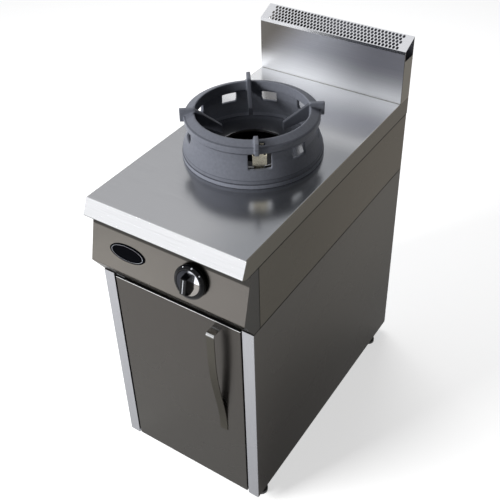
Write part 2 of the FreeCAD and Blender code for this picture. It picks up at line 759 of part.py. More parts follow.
def make_tap():
    gap = size("running_gap")
    plug_top = -size("plug_depth")
    plug_foot = plug_top - size("plug_length")
    bonnet_foot = -gauge - size("bonnet_gauge")

    body = new_body("tap_casting")
    shell = new_sketch(body, "XY_Plane", bonnet_foot)
    half = size("tap_width") / 2
    rectangle(shell, -half, -half, half, half)
    pad(body, shell, size("tap_length") + bonnet_foot, back=True)
    spigot = new_sketch(body, "XZ_Plane", half)
    spigot_half = size("spigot_width") / 2
    spigot_middle = -size("spigot_depth") - size("bonnet_gauge")
    rectangle(
        spigot,
        -spigot_half,
        spigot_middle - spigot_half,
        spigot_half,
        spigot_middle + spigot_half,
    )
    pad(body, spigot, size("rail_drop") - half)
    outlet = new_sketch(body, "XY_Plane", -size("tap_length"))
    circle(outlet, 0, 0, size("feed_radius") * 1.5)
    pad(body, outlet, size("feed_radius"), back=True)
    seat = new_sketch(body, "XZ_Plane")
    polygon(
        seat,
        (
            (0, plug_foot - gap),
            (size("plug_radius") + gap, plug_foot - gap),
            (size("plug_radius") + gap, bonnet_foot),
            (0, bonnet_foot),
        ),
    )
    bore = body.newObject("PartDesign::Groove", "tap_seat")
    bore.Profile = seat
    bore.ReferenceAxis = (seat, ["V_Axis"])
    bore.Angle = 360
    panel_frame(body, knob_x, size("knob_climb"))
    rail = rod("rail_saddle", size("rail_radius") + size("saddle_gap"), size("tap_width") * 3)
    place(rail, knob_x - size("tap_width") * 1.5, rail_y, rail_z, (0, 1, 0), as_size(90))
    keep(cut("tap_body_cut", body, rail), "tap_body")

    bonnet = new_body("bonnet_body")
    plate = new_sketch(bonnet, "XY_Plane", -gauge)
    bonnet_half = size("bonnet_width") / 2
    rectangle(plate, -bonnet_half, -bonnet_half, bonnet_half, bonnet_half)
    circle(plate, 0, 0, size("spindle_radius") + gap)
    pad(bonnet, plate, size("bonnet_gauge"), back=True)
    panel_frame(bonnet, knob_x, size("knob_climb"))
    keep(bonnet, "tap_bonnet")

    plug = new_body("plug_body")
    barrel = new_sketch(plug, "XY_Plane", plug_foot)
    circle(barrel, 0, 0, size("plug_radius"))
    pad(plug, barrel, size("plug_length"))
    tongue = new_sketch(plug, "XY_Plane", plug_top)
    tongue_half = size("tongue_width") / 2
    tongue_reach = size("spindle_radius") * 0.85
    rectangle(tongue, -tongue_half, -tongue_reach, tongue_half, tongue_reach)
    pad(plug, tongue, size("tongue_length"))
    panel_frame(plug, knob_x, size("knob_climb"))
    keep(plug, "tap_plug")

    spindle = new_body("spindle_body")
    foot = plug_top + size("push_travel") + gap * 2
    shaft = new_sketch(spindle, "XY_Plane", foot)
    circle(shaft, 0, 0, size("spindle_radius"))
    pad(spindle, shaft, size("knob_gap") + size("spindle_grip") - foot)
    slot = new_sketch(spindle, "XY_Plane", foot)
    slot_half = tongue_half + gap
    slot_reach = size("spindle_radius") * 2
    rectangle(slot, -slot_half, -slot_reach, slot_half, slot_reach)
    pocket(spindle, slot, size("slot_depth"), back=True)
    panel_frame(spindle, knob_x, size("knob_climb"))
    keep(spindle, "tap_spindle")


# ---------------------------------------------------------------- gas pipes
tap_axis_in = size("spigot_depth") + size("bonnet_gauge")
rail_climb = size("knob_climb") - size("rail_drop")
rail_y = panel_foot_y + rail_climb * sine(tilt) + tap_axis_in * cosine(tilt)
rail_z = panel_foot_z + rail_climb * cosine(tilt) - tap_axis_in * sine(tilt)
feed_start = size("tap_length") + size("feed_radius")
feed_y = panel_foot_y + size("knob_climb") * sine(tilt) + feed_start * cosine(tilt)
feed_z = panel_foot_z + size("knob_climb") * cosine(tilt) - feed_start * sine(tilt)
burner_top = top - size("burner_drop")
bowl_top = burner_top - size("burner_cap_height")
bowl_foot = bowl_top - size("burner_bowl_depth")
venturi_z = bowl_foot + size("venturi_radius")
venturi_mouth = burner_y - size("burner_radius") - size("venturi_length")
injector_back = venturi_mouth - size("injector_gap")
injector_front = injector_back - size("injector_length")


def make_gas_pipes():
    side = rail_x
    rail_end = body_back - size("flange_width") * 2
    rail = tube(
        "gas_rail_tube",
        (
            (side, rail_end, rail_z),
            (side, rail_y, rail_z),
            (knob_x - size("rail_overrun"), rail_y, rail_z),
        ),
        size("rail_radius"),
        size("rail_bend"),
    )
    body = new_body("gas_inlet_body")
    profile = new_sketch(body, "XZ_Plane")
    inlet_end = body_back + size("inlet_reach")
    length = inlet_end - rail_end
    socket_end = body_back + size("inlet_shoulder") - rail_end
    polygon(
        profile,
        (
            (0, 0),
            (size("inlet_socket"), 0),
            (size("inlet_socket"), socket_end),
            (size("inlet_radius"), socket_end),
            (size("inlet_radius"), length),
            (size("inlet_bore"), length),
            (size("inlet_bore"), socket_end),
            (0, socket_end),
        ),
    )
    revolve(body, profile)
    place(body, side, rail_end, rail_z, (1, 0, 0), as_size(-90))
    keep(fuse("gas_rail_welded", rail, body), "gas_rail")
    run = size("feed_run")
    keep(
        tube(
            "burner_feed_tube",
            (
                (knob_x, feed_y, feed_z),
                (knob_x, feed_y + run * cosine(tilt), feed_z - run * sine(tilt)),
                (ZERO, injector_front - run, venturi_z),
                (ZERO, injector_front, venturi_z),
            ),
            size("feed_radius"),
            size("feed_bend"),
        ),
        "burner_feed",
    )


# ---------------------------------------------------------------- burner
def make_burner():
    bowl = new_body("burner_bowl")
    wall = size("burner_wall")
    profile = new_sketch(bowl, "XZ_Plane")
    outer = size("burner_radius") - size("port_depth")
    polygon(
        profile,
        (
            (size("burner_cap_bore"), bowl_foot),
            (outer, bowl_foot),
            (outer, bowl_top),
            (size("burner_cap_bore"), bowl_top),
        ),
    )
    revolve(bowl, profile)
    mixing = new_sketch(bowl, "XZ_Plane", outer - wall)
    circle(mixing, 0, venturi_z, size("venturi_radius"))
    pad(bowl, mixing, burner_y - venturi_mouth - outer + wall)
    passage = new_sketch(bowl, "XZ_Plane", burner_y - venturi_mouth)
    circle(passage, 0, venturi_z, size("venturi_bore"))
    pocket(bowl, passage, burner_y - venturi_mouth - outer + wall * 1.6)
    place(bowl, ZERO, burner_y, ZERO)
    keep(bowl, "burner_body")

    cap = new_body("burner_cap_body")
    disc = new_sketch(cap, "XZ_Plane")
    polygon(
        disc,
        (
            (size("burner_cap_bore"), bowl_top),
            (size("burner_radius"), bowl_top),
            (size("burner_radius"), burner_top),
            (size("burner_cap_bore"), burner_top),
        ),
    )
    revolve(cap, disc)
    port = new_sketch(cap, "XZ_Plane", size("burner_radius") + 1)
    port_foot = bowl_top + size("port_depth") / 2
    rectangle(
        port,
        -size("port_width") / 2,
        port_foot,
        size("port_width") / 2,
        port_foot + size("port_depth"),
    )
    notch = pocket(cap, port, size("port_depth") * 2)
    ring_pattern(cap, notch, size("port_count"))
    place(cap, ZERO, burner_y, ZERO)
    keep(cap, "burner_cap")

    injector = new_body("injector_body")
    hexagon(new_sketch(injector, "XY_Plane"), ZERO, ZERO, size("injector_radius"))
    pad(injector, injector.Group[0], size("injector_length"))
    place(injector, ZERO, injector_front, venturi_z, (1, 0, 0), as_size(-90))
    keep(injector, "injector_holder")

    rails = []
    for name, side in (("front", -1), ("rear", 1)):
        body = new_body(f"burner_rail_{name}_body")
        section = new_sketch(body, "YZ_Plane")
        near_y = burner_y + size("burner_rail_spread") * side
        far_y = near_y + size("burner_rail_width") * side
        low = bowl_foot - size("burner_rail_height")
        web = near_y + size("post_gauge") * side
        polygon(
            section,
            (
                (near_y, bowl_foot),
                (far_y, bowl_foot),
                (far_y, bowl_foot - size("post_gauge")),
                (web, bowl_foot - size("post_gauge")),
                (web, low),
                (near_y, low),
            ),
        )
        pad(body, section, size("overall_width") - gauge * 2, both=True)
        rails.append(keep(body, f"burner_rail_{name}"))
    return rails


# ---------------------------------------------------------------- wok ring
def make_wok_ring():
    body = new_body("wok_ring_casting")
    base = size("ring_base_radius")
    band = size("ring_base_band")
    drop = size("ring_bead_drop")
    bead = band + drop + size("ring_bead_height")
    waist = size("ring_waist_radius")
    rim = size("ring_rim_radius")
    crest = size("ring_rim_crest")
    mouth = size("ring_mouth_radius")
    wall = size("ring_wall")
    profile = new_sketch(body, "XZ_Plane")
    polygon(
        profile,
        (
            (base, 0),
            (base, band),
            (base - drop, band),
            (base - drop, bead),
            (waist, size("ring_waist_height")),
            (waist, size("ring_neck_height")),
            (rim, size("ring_rim_foot")),
            (rim, size("ring_rim_shoulder")),
            (mouth + size("ring_crest_width"), crest),
            (mouth, crest),
            (mouth, size("ring_lip_foot")),
            (waist - wall, size("ring_lip_foot")),
            (waist - wall, size("ring_waist_height")),
            (base - wall * 1.2, bead),
            (base - wall * 1.2, 0),
        ),
    )
    revolve(body, profile)
    depth = base * 1.1
    notch = new_sketch(body, "XZ_Plane")
    half_notch = size("notch_width") / 2
    shift = size("notch_shift")
    rectangle(
        notch,
        shift - half_notch,
        size("notch_floor"),
        shift + half_notch,
        size("notch_ceiling"),
    )
    pocket(body, notch, depth, back=True)
    opening = new_sketch(body, "XZ_Plane")
    half_window = size("window_width") / 2
    low = size("window_floor")
    rectangle(opening, -half_window, low, half_window, low + size("window_height"))
    window = pocket(body, opening, depth, back=True)
    ring_pattern(body, window, size("window_count"), size("window_spacing_angle"))
    slit = new_sketch(body, "XY_Plane", crest)
    slit_start = size("arm_thickness") / 2 + size("running_gap") * 2
    rectangle(
        slit,
        slit_start,
        -size("slit_outer"),
        slit_start + size("slit_length"),
        -size("slit_inner"),
    )
    pocket(body, slit, crest - size("notch_ceiling"))
    arm = new_sketch(body, "YZ_Plane")
    root = size("arm_root_foot")
    polygon(
        arm,
        (
            (-size("arm_reach"), size("arm_hook")),
            (-size("arm_reach"), size("arm_top")),
            (-size("arm_flat_end"), size("arm_top")),
            (-size("arm_tip_radius"), size("arm_tip_top")),
            (-size("arm_tip_radius"), size("arm_tip_foot")),
            (-mouth, root),
            (-waist + wall / 2, root),
            (-rim + wall / 2, size("arm_hook")),
        ),
    )
    first = pad(body, arm, size("arm_thickness"), both=True)
    ring_pattern(body, first, size("arm_count"))
    place(body, ZERO, burner_y, top, (0, 0, 1), size("ring_turn_angle"))
    return keep(body, "wok_ring")


# ---------------------------------------------------------------- pilot assembly
def ring_point(radius, sideways, lift):
    """A place by the wok ring: a distance out along the front arm, one across it, and a height."""
    radius, sideways = as_size(radius), as_size(sideways)
    turn = size("ring_turn_angle")
    x = radius * sine(turn) + sideways * cosine(turn)
    y = burner_y - radius * cosine(turn) + sideways * sine(turn)
    return (x, y, top + lift)


def behind_panel(x, climb, depth):
    """A place behind the control panel's face, as deep as given along the tap's axis."""
    y = panel_foot_y + climb * sine(tilt) + depth * cosine(tilt)
    z = panel_foot_z + climb * cosine(tilt) - depth * sine(tilt)
    return (x, y, z)


def make_pilot():
    wall = size("bracket_gauge")
    body = new_body("pilot_bracket_body")
    face = size("bracket_radius")
    stem = size("bracket_stem_width") / 2
    cup = size("bracket_cup_width") / 2
    floor = size("bracket_cup_floor")
    ceiling = size("bracket_cup_top")
    tongue = size("arm_thickness") / 2 + size("running_gap") * 5
    tongue_far = tongue + size("bracket_tongue_width")
    shift = size("notch_shift")
    upright = new_sketch(body, "XZ_Plane", face)
    polygon(
        upright,
        (
            (shift - stem, 0),
            (shift + stem, 0),
            (shift + stem, floor),
            (shift + cup, floor),
            (shift + cup, ceiling),
            (tongue_far, ceiling),
            (tongue_far, size("bracket_tongue_top")),
            (tongue, size("bracket_tongue_top")),
            (tongue, ceiling),
            (shift - cup, ceiling),
            (shift - cup, floor),
            (shift - stem, floor),
        ),
    )
    pad(body, upright, wall)
    wings = new_sketch(body, "XY_Plane", floor)
    back = -face
    for start in (shift - cup, shift + cup - wall):
        rectangle(wings, start, back, start + wall, back + size("bracket_cup_depth"))
    pad(body, wings, ceiling - floor)
    shelf = new_sketch(body, "XY_Plane", floor)
    rectangle(shelf, shift - cup, back, shift + cup, back + size("bracket_cup_depth"))
    pad(body, shelf, wall)
    half = size("probe_spacing") / 2
    seats = new_sketch(body, "XY_Plane", floor + wall)
    circle(seats, shift - half, -size("pilot_circle"), size("pilot_radius") + size("running_gap"))
    circle(seats, shift + half, -size("pilot_circle"), size("probe_radius") + size("running_gap"))
    pocket(body, seats, wall * 2)
    foot = new_sketch(body, "XY_Plane")
    rectangle(foot, shift - stem, back, shift + stem, back + size("bracket_foot_length"))
    pad(body, foot, wall)
    place(body, ZERO, burner_y, top, (0, 0, 1), size("ring_turn_angle"))
    keep(body, "pilot_bracket")

    foot_lift = size("pilot_foot")
    for name, label, radius, side in (
        ("pilot_burner_rod", "pilot_burner", size("pilot_radius"), shift - half),
        ("thermocouple_rod", "thermocouple", size("probe_radius"), shift + half),
    ):
        tip = rod(name, radius, size("pilot_height"))
        place(tip, *ring_point(size("pilot_circle"), side, foot_lift))
        keep(tip, label)
    depth = size("tap_length")
    beyond = depth + size("lead_run")
    tap_side = knob_x + size("lead_union")
    for name, label, side, climb in (
        ("pilot_tube_run", "pilot_tube", shift - half, size("knob_climb") + size("lead_spacing")),
        (
            "thermocouple_lead_run",
            "thermocouple_lead",
            shift + half,
            size("knob_climb") - size("lead_spacing"),
        ),
    ):
        line = tube(
            name,
            (
                ring_point(size("pilot_circle"), side, foot_lift),
                ring_point(size("pilot_circle"), side, size("lead_rise")),
                ring_point(size("lead_circle"), side, size("lead_rise")),
                ring_point(size("lead_circle"), side, -size("lead_depth")),
                behind_panel(tap_side, climb, beyond),
                behind_panel(tap_side, climb, depth),
            ),
            size("lead_radius"),
        )
        keep(line, label)


# ---------------------------------------------------------------- module shell
def make_module_shell():
    gap = size("joint_gap")
    low = seam + gap / 2
    high = side_lip_foot - gap
    side_start = cheek_back + gap
    flange = size("flange_width")
    body = new_body("upper_side_body")
    section = new_sketch(body, "XZ_Plane", -side_start)
    polygon(
        section,
        (
            (half_width, low),
            (half_width, high),
            (half_width - gauge, high),
            (half_width - gauge, low + gauge),
            (half_width - flange, low + gauge),
            (half_width - flange, low),
        ),
    )
    pad(body, section, body_back - side_start, back=True)
    keep(body, "upper_side_right")
    keep(mirrored("upper_side_twin", body), "upper_side_left")

    back_plate = block(
        "upper_back_plate",
        (-half_width + gauge + gap, body_back - gauge, low + gauge),
        (half_width - gauge - gap, body_back, high),
    )
    gas_hole = rod("gas_hole", size("inlet_socket") + gap, gauge * 4)
    place(
        gas_hole,
        rail_x,
        body_back - gauge * 2,
        rail_z,
        (1, 0, 0),
        as_size(-90),
    )
    keep(cut("upper_back_cut", back_plate, gas_hole), "upper_back_panel")

    tray = new_body("drip_tray_body")
    tray_foot = low + gauge
    rim = size("flange_width") * 1.2
    edge = half_width - gauge - gap * 2
    tray_front = cheek_back + flange
    tray_back = body_back - flange * 3
    outer = new_sketch(tray, "XY_Plane", tray_foot)
    rectangle(outer, -edge, tray_front, edge, tray_back)
    pad(tray, outer, rim)
    inner = new_sketch(tray, "XY_Plane", tray_foot + rim)
    rectangle(inner, -edge + gauge, tray_front + gauge, edge - gauge, tray_back - gauge)
    pocket(tray, inner, rim - gauge)
    keep(tray, "drip_tray")


# ---------------------------------------------------------------- flue
def make_flue():
    body = new_body("flue_box_body")
    rise_front = top + size("flue_front_rise")
    rise_back = rise_front + size("flue_depth") * tangent(size("cap_tilt"))
    rise_side = top + size("flue_side_rise")
    outer = new_sketch(body, "YZ_Plane")
    polygon(
        outer,
        (
            (flue_front, top),
            (flue_back, top),
            (flue_back, rise_back),
            (flue_front, rise_front),
        ),
    )
    pad(body, outer, size("overall_width"), both=True)
    duct = new_sketch(body, "YZ_Plane")
    rectangle(duct, flue_front + gauge, top - gauge, flue_back - gauge, rise_back + gauge)
    pocket(body, duct, size("overall_width") - gauge * 2, both=True)
    window = new_sketch(body, "YZ_Plane")
    rectangle(window, flue_front + gauge, rise_side, flue_back - gauge, rise_back + gauge)
    pocket(body, window, size("overall_width") * 1.1, both=True)
    keep(body, "flue_box")

    baffle_top = rise_side - size("baffle_drop")
    middle = flue_front + size("flue_depth") / 2
    keep(
        block(
            "flue_baffle_plate",
            (-half_width + gauge, middle, baffle_top - size("baffle_height")),
            (half_width - gauge, middle + gauge, baffle_top),
        ),
        "flue_baffle",
    )
    make_flue_cap(rise_front)


def make_flue_cap(rise_front):
    """The perforated cap, drawn flat and laid on the flue's slope."""
    cap = new_body("flue_cap_body")
    slope = size("cap_tilt")
    sheet_wall = size("cap_gauge")
    flange = size("cap_front_flange")
    near_edge = (sheet_wall * sine(slope) - sheet_wall) / cosine(slope)
    far_edge = (size("flue_depth") + sheet_wall + sheet_wall * sine(slope)) / cosine(slope)
    far_inner = size("flue_depth") / cosine(slope)
    back = -flange * sine(slope)
    down = -flange * cosine(slope)
    profile = new_sketch(cap, "YZ_Plane")
    polygon(
        profile,
        (
            (near_edge, sheet_wall),
            (far_edge, sheet_wall),
            (far_edge + back, sheet_wall + down),
            (far_inner + back, down),
            (far_inner, 0),
            (0, 0),
            (back, down),
            (near_edge + back, sheet_wall + down),
        ),
    )
    pad(cap, profile, size("overall_width"), both=True)
    margin = size("cap_margin")
    pitch = size("cap_column_pitch")
    columns = int((size("overall_width") - margin * 2).number / pitch.number)
    first_x = -pitch * (columns - 1) / 2
    first_y = size("cap_first_row")
    for shift, rows, start in ((0, 3, ZERO), (-1, 2, size("cap_row_pitch"))):
        count = columns + shift
        begin = first_x - pitch * shift / 2
        slot = new_sketch(cap, "XY_Plane", sheet_wall)
        half_w = size("cap_slot_width") / 2
        half_l = size("cap_slot_length") / 2
        centre = first_y + start
        rectangle(slot, begin - half_w, centre - half_l, begin + half_w, centre + half_l)
        punch = pocket(cap, slot, sheet_wall * 2)
        grid_pattern(cap, punch, count, pitch, rows, size("cap_row_pitch") * 2)
    place(cap, ZERO, flue_front, rise_front, (1, 0, 0), slope)
    return keep(cap, "flue_cap")


# ---------------------------------------------------------------- stand
def make_stand():
    wall = size("post_gauge")
    gap = size("joint_gap")
    flange = size("flange_width")
    post_inner = half_width - size("post_width")
    stand_top = seam - gap / 2
    post_back = stand_front + size("post_depth")

    post = new_body("front_post_body")
    section = new_sketch(post, "XY_Plane", stand_foot)
    polygon(
        section,
        (
            (post_inner, stand_front),
            (half_width, stand_front),
            (half_width, stand_front + wall),
            (half_width - gauge, stand_front + wall),
            (half_width - gauge, post_back),
            (half_width - gauge - wall, post_back),
            (half_width - gauge - wall, stand_front + wall),
            (post_inner + wall, stand_front + wall),
            (post_inner + wall, post_back),
            (post_inner, post_back),
        ),
    )
    pad(post, section, stand_top - stand_foot)
    keep(post, "front_post_right")
    keep(mirrored("front_post_twin", post), "front_post_left")

    side = new_body("stand_side_body")
    sheet_face = new_sketch(side, "YZ_Plane", half_width - gauge)
    rectangle(sheet_face, stand_front + wall, stand_foot, body_back, stand_top)
    pad(side, sheet_face, gauge)
    ledge = new_sketch(side, "XY_Plane", stand_foot)
    rectangle(
        ledge,
        half_width - flange * 2,
        post_back + gap,
        half_width,
        body_back,
    )
    pad(side, ledge, gauge)
    stems = new_sketch(side, "XY_Plane", stand_foot + gauge * 2)
    for label, x, y in foot_places():
        if label.endswith("right"):
            circle(stems, x, y, size("foot_stem_radius") + size("running_gap"))
    pocket(side, stems, gauge * 3)
    keep(side, "stand_side_right")
    keep(mirrored("stand_side_twin", side), "stand_side_left")

    floor = new_body("cupboard_floor_body")
    floor_top = stand_foot + size("floor_rise") + gauge
    ledge_top = stand_foot + gauge
    floor_front = post_back + gap
    floor_back = body_back - gauge - gap
    channel = new_sketch(floor, "YZ_Plane")
    polygon(
        channel,
        (
            (floor_front, ledge_top),
            (floor_front + gauge, ledge_top),
            (floor_front + gauge, floor_top - gauge),
            (floor_back - gauge, floor_top - gauge),
            (floor_back - gauge, ledge_top),
            (floor_back, ledge_top),
            (floor_back, floor_top),
            (floor_front, floor_top),
        ),
    )
    pad(floor, channel, (half_width - gauge - gap / 2) * 2, both=True)
    keep(floor, "cupboard_floor")

    keep(
        block(
            "stand_back_sheet",
            (-half_width + gauge, body_back - gauge, ledge_top),
            (half_width - gauge, body_back, stand_top),
        ),
        "stand_back_panel",
    )

    rail = new_body("top_rail_body")
    rail_front = stand_front + size("door_thickness") + size("door_swing_room")
    rail_low = stand_top - size("top_rail_height")
    angle = new_sketch(rail, "YZ_Plane")
    polygon(
        angle,
        (
            (rail_front, rail_low),
            (rail_front + wall, rail_low),
            (rail_front + wall, stand_top - wall),
            (rail_front + size("top_rail_depth"), stand_top - wall),
            (rail_front + size("top_rail_depth"), stand_top),
            (rail_front, stand_top),
        ),
    )
    pad(rail, angle, post_inner * 2, both=True)
    keep(rail, "top_rail")

    rear = new_body("rear_rail_body")
    rear_y = body_back - gauge
    corner = new_sketch(rear, "YZ_Plane")
    polygon(
        corner,
        (
            (rear_y, stand_top - flange * 2),
            (rear_y, stand_top),
            (rear_y - flange * 2, stand_top),
            (rear_y - flange * 2, stand_top - wall),
            (rear_y - wall, stand_top - wall),
            (rear_y - wall, stand_top - flange * 2),
        ),
    )
    pad(rear, corner, (half_width - gauge) * 2, both=True)
    keep(rear, "rear_rail")
    return rail_front, rail_low


# ---------------------------------------------------------------- door
door_left = -half_width + size("post_width") + size("door_gap")
door_right = -door_left
door_back = stand_front + size("door_thickness")
door_foot = stand_foot + size("door_foot_gap")
door_top = seam - size("door_top_gap")
hinge_x = door_left + size("hinge_side_inset")
hinge_y = stand_front + size("hinge_face_inset")


def make_door():
    wall = size("door_gauge")
    body = new_body("door_skin_body")
    outer = new_sketch(body, "XY_Plane", door_foot)
    rectangle(outer, door_left, stand_front, door_right, door_back)
    pad(body, outer, door_top - door_foot)

    def face_edge(edge):
        box = edge.BoundBox
        return near(box.YMin, stand_front.number) and near(box.YMax, stand_front.number)

    soften(body, size("door_edge_radius"), face_edge)
    hollow = new_sketch(body, "XY_Plane", door_foot + wall)
    rectangle(
        hollow,
        door_left + wall,
        stand_front + wall,
        door_right - wall,
        door_back + wall,
    )
    pocket(body, hollow, door_top - door_foot - wall * 2, back=True)
    pin_way = new_sketch(body, "XY_Plane", door_top + wall)
    circle(pin_way, hinge_x, hinge_y, size("pin_radius") + size("running_gap"))
    pocket(body, pin_way, door_top - door_foot + wall * 2)
    keep(body, "door_skin")

    fit_gap = size("pin_clearance")
    keep(
        block(
            "door_liner_sheet",
            (door_left + wall + fit_gap, door_back - wall, door_foot + wall + fit_gap),
            (door_right - wall - fit_gap, door_back, door_top - wall - fit_gap),
        ),
        "door_liner",
    )
    bushes = []
    for name, foot in (
        ("lower", door_foot + wall),
        ("upper", door_top - wall - size("bush_length")),
    ):
        sleeve = new_body(f"bush_{name}")
        section = new_sketch(sleeve, "XY_Plane", foot)
        circle(section, hinge_x, hinge_y, size("bush_radius"))
        circle(section, hinge_x, hinge_y, size("pin_radius") + fit_gap)
        pad(sleeve, section, size("bush_length"))
        bushes.append(sleeve)
    keep(group("hinge_bush_pair", *bushes), "hinge_bushes")


def make_hinges(rail_front):
    plate = size("hinge_plate_gauge")
    half = size("hinge_plate_width") / 2
    clear = size("joint_gap") / 2
    stand_top = seam - clear
    plate_left = hinge_x - half
    reach = size("pin_length")
    plates = []
    pins = []
    upper_foot = door_top + clear * 2
    upper_back = rail_front
    lower_foot = stand_foot
    lower_back = stand_front + size("post_depth") + size("joint_gap")
    for name, foot, back, pin_foot, pin_top in (
        ("upper", upper_foot, upper_back, door_top - reach, upper_foot),
        ("lower", lower_foot, lower_back, lower_foot + plate, door_foot + reach),
    ):
        plates.append(
            block(
                f"hinge_plate_{name}",
                (plate_left, hinge_y - half / 2, foot),
                (hinge_x + half * 2, back, foot + plate),
            )
        )
        pin = rod(f"hinge_pin_{name}", size("pin_radius"), pin_top - pin_foot)
        place(pin, hinge_x, hinge_y, pin_foot)
        pins.append(pin)
    keep(group("hinge_plate_pair", *plates), "hinge_plates")
    keep(group("hinge_pin_pair", *pins), "hinge_pins")
    return stand_top


def make_catch(rail_front, rail_low):
    half = size("catch_length") / 2
    middle = door_right - size("catch_inset") - half
    wall = size("post_gauge")
    magnet_front = door_back + size("strike_gauge") + size("running_gap")
    body = new_body("catch_body")
    profile = new_sketch(body, "YZ_Plane", middle - half)
    block_foot = rail_low - size("catch_height")
    back = magnet_front + size("catch_depth")
    polygon(
        profile,
        (
            (magnet_front, block_foot),
            (back, block_foot),
            (back, rail_low + size("catch_height")),
            (rail_front + wall, rail_low + size("catch_height")),
            (rail_front + wall, rail_low),
            (magnet_front, rail_low),
        ),
    )
    pad(body, profile, size("catch_length"))
    keep(body, "door_catch")
    keep(
        block(
            "strike_sheet",
            (middle - half, door_back, block_foot),
            (middle + half, door_back + size("strike_gauge"), rail_low - size("strike_gauge")),
        ),
        "strike_plate",
    )


# ---------------------------------------------------------------- handle
def make_handle():
    """A strip bent square at the top that curves back to the door at its foot."""
    wall = size("handle_gauge").number
    reach = size("handle_reach").number
    face = stand_front.number
    left = (door_right - size("handle_inset") - size("handle_width")).number
    high = (door_top - size("handle_drop")).number
    straight = size("handle_straight").number
    bend = size("handle_bend").number
    tail = size("handle_tail").number
    low = high - size("handle_length").number

    def side_view(inset, bend_radius):
        """The strip's outer or inner line, from the door at the top to its foot."""
        out = face - reach + inset
        crown = high - inset
        knee = out + bend_radius
        turn = FreeCAD.Vector
        curve_top = high - straight
        arm = Part.LineSegment(turn(left, face, crown), turn(left, knee, crown)).toShape()
        middle = bend_radius * (1 - math.sqrt(0.5))
        corner = Part.Arc(
            turn(left, knee, crown),
            turn(left, out + middle, crown - middle),
            turn(left, out, crown - bend_radius),
        ).toShape()
        grip = Part.LineSegment(
            turn(left, out, crown - bend_radius), turn(left, out, curve_top)
        ).toShape()
        foot_y = face - wall + inset
        poles = [
            turn(left, out, curve_top),
            turn(left, out, curve_top - (curve_top - low) * 0.42),
            turn(left, foot_y, low + tail + (curve_top - low) * 0.3),
            turn(left, foot_y, low + tail),
        ]
        sweep = Part.BezierCurve()
        sweep.setPoles(poles)
        flat = Part.LineSegment(turn(left, foot_y, low + tail), turn(left, foot_y, low)).toShape()
        return [arm, corner, grip, sweep.toShape(), flat]

    outer = side_view(0, bend)
    inner = side_view(wall, bend - wall)
    top_gap = Part.LineSegment(
        FreeCAD.Vector(left, face, high), FreeCAD.Vector(left, face, high - wall)
    ).toShape()
    foot_gap = Part.LineSegment(
        FreeCAD.Vector(left, face - wall, low), FreeCAD.Vector(left, face, low)
    ).toShape()
    outline = Part.Wire(Part.__sortEdges__(outer + inner + [top_gap, foot_gap]))
    item = doc.addObject("Part::Feature", "door_handle_strip")
    item.Shape = Part.Face(outline).extrude(FreeCAD.Vector(size("handle_width").number, 0, 0))
    return keep(item, "door_handle")


# ---------------------------------------------------------------- feet
def foot_places():
    x = half_width - size("foot_side_inset")
    near_y = stand_front + size("foot_front_inset")
    far_y = body_back - size("foot_rear_inset")
    return (
        ("front_right", x, near_y),
        ("front_left", -x, near_y),
        ("rear_right", x, far_y),
        ("rear_left", -x, far_y),
    )


def make_feet():
    shoulder = stand_foot + gauge
    stem = size("foot_stem_radius")
    plates = []
    for name, x, y in foot_places():
        foot = new_body(f"foot_{name}_body")
        profile = new_sketch(foot, "XZ_Plane")
        polygon(
            profile,
            (
                (0, 0),
                (size("foot_pad_radius"), 0),
                (size("foot_pad_radius"), size("foot_pad_height")),
                (stem, size("foot_pad_height")),
                (stem, shoulder + size("foot_stem_length")),
                (0, shoulder + size("foot_stem_length")),
            ),
        )
        revolve(foot, profile)
        neck = new_sketch(foot, "XY_Plane", size("foot_pad_height"))
        hexagon(neck, ZERO, ZERO, size("foot_neck_radius"))
        pad(foot, neck, stand_foot - size("foot_pad_height"))
        place(foot, x, y, ZERO)
        keep(foot, f"foot_{name}")

        half = size("foot_plate_size") / 2
        side = 1 if x.number > 0 else -1
        near_x = (half_width - gauge - size("joint_gap")) * side
        far_x = near_x - size("foot_plate_size") * side
        low_x, high_x = (far_x, near_x) if side > 0 else (near_x, far_x)
        plate = block(
            f"foot_plate_{name}",
            (low_x, y - half, shoulder),
            (high_x, y + half, shoulder + size("foot_plate_gauge")),
        )
        drill = size("foot_plate_gauge") * 2 + size("weld_nut_height")
        hole = rod(f"foot_plate_hole_{name}", stem + size("running_gap"), drill)
        place(hole, x, y, shoulder - size("foot_plate_gauge") / 2)
        nut = new_body(f"weld_nut_{name}")
        nut_sketch = new_sketch(nut, "XY_Plane", shoulder + size("foot_plate_gauge"))
        hexagon(nut_sketch, x, y, size("weld_nut_radius"))
        pad(nut, nut_sketch, size("weld_nut_height"))
        welded = fuse(f"foot_plate_welded_{name}", plate, nut)
        plates.append(cut(f"foot_plate_cut_{name}", welded, hole))
    keep(group("foot_bracket_set", *plates), "foot_brackets")


# ---------------------------------------------------------------- build and write
make_worktop()
make_control_panel()
make_badge()
make_knob()
make_tap()
make_gas_pipes()
make_burner()
make_wok_ring()
make_pilot()
make_module_shell()
make_flue()
rail_front_y, rail_low_z = make_stand()
make_door()
make_hinges(rail_front_y)
make_catch(rail_front_y, rail_low_z)
make_handle()
make_feet()
doc.recompute()

for item in doc.Objects:
    if "Invalid" in item.State or "Error" in item.State:
        raise RuntimeError(f"{item.Name} ({item.Label}) failed: {item.State}")
for item in pieces:
    if item.Shape.isNull() or not item.Shape.isValid() or not item.Shape.Solids:
        raise RuntimeError(f"{item.Label} is not a valid solid")

os.makedirs("parts", exist_ok=True)
for item in pieces:
    item.Shape.exportStep(f"parts/{item.Label}.step")
print(f"{len(pieces)} pieces written")
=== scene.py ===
import json
import math

import bmesh
import bpy
from bpy.props import FloatProperty, FloatVectorProperty, IntProperty, PointerProperty
from mathutils import Matrix, Vector


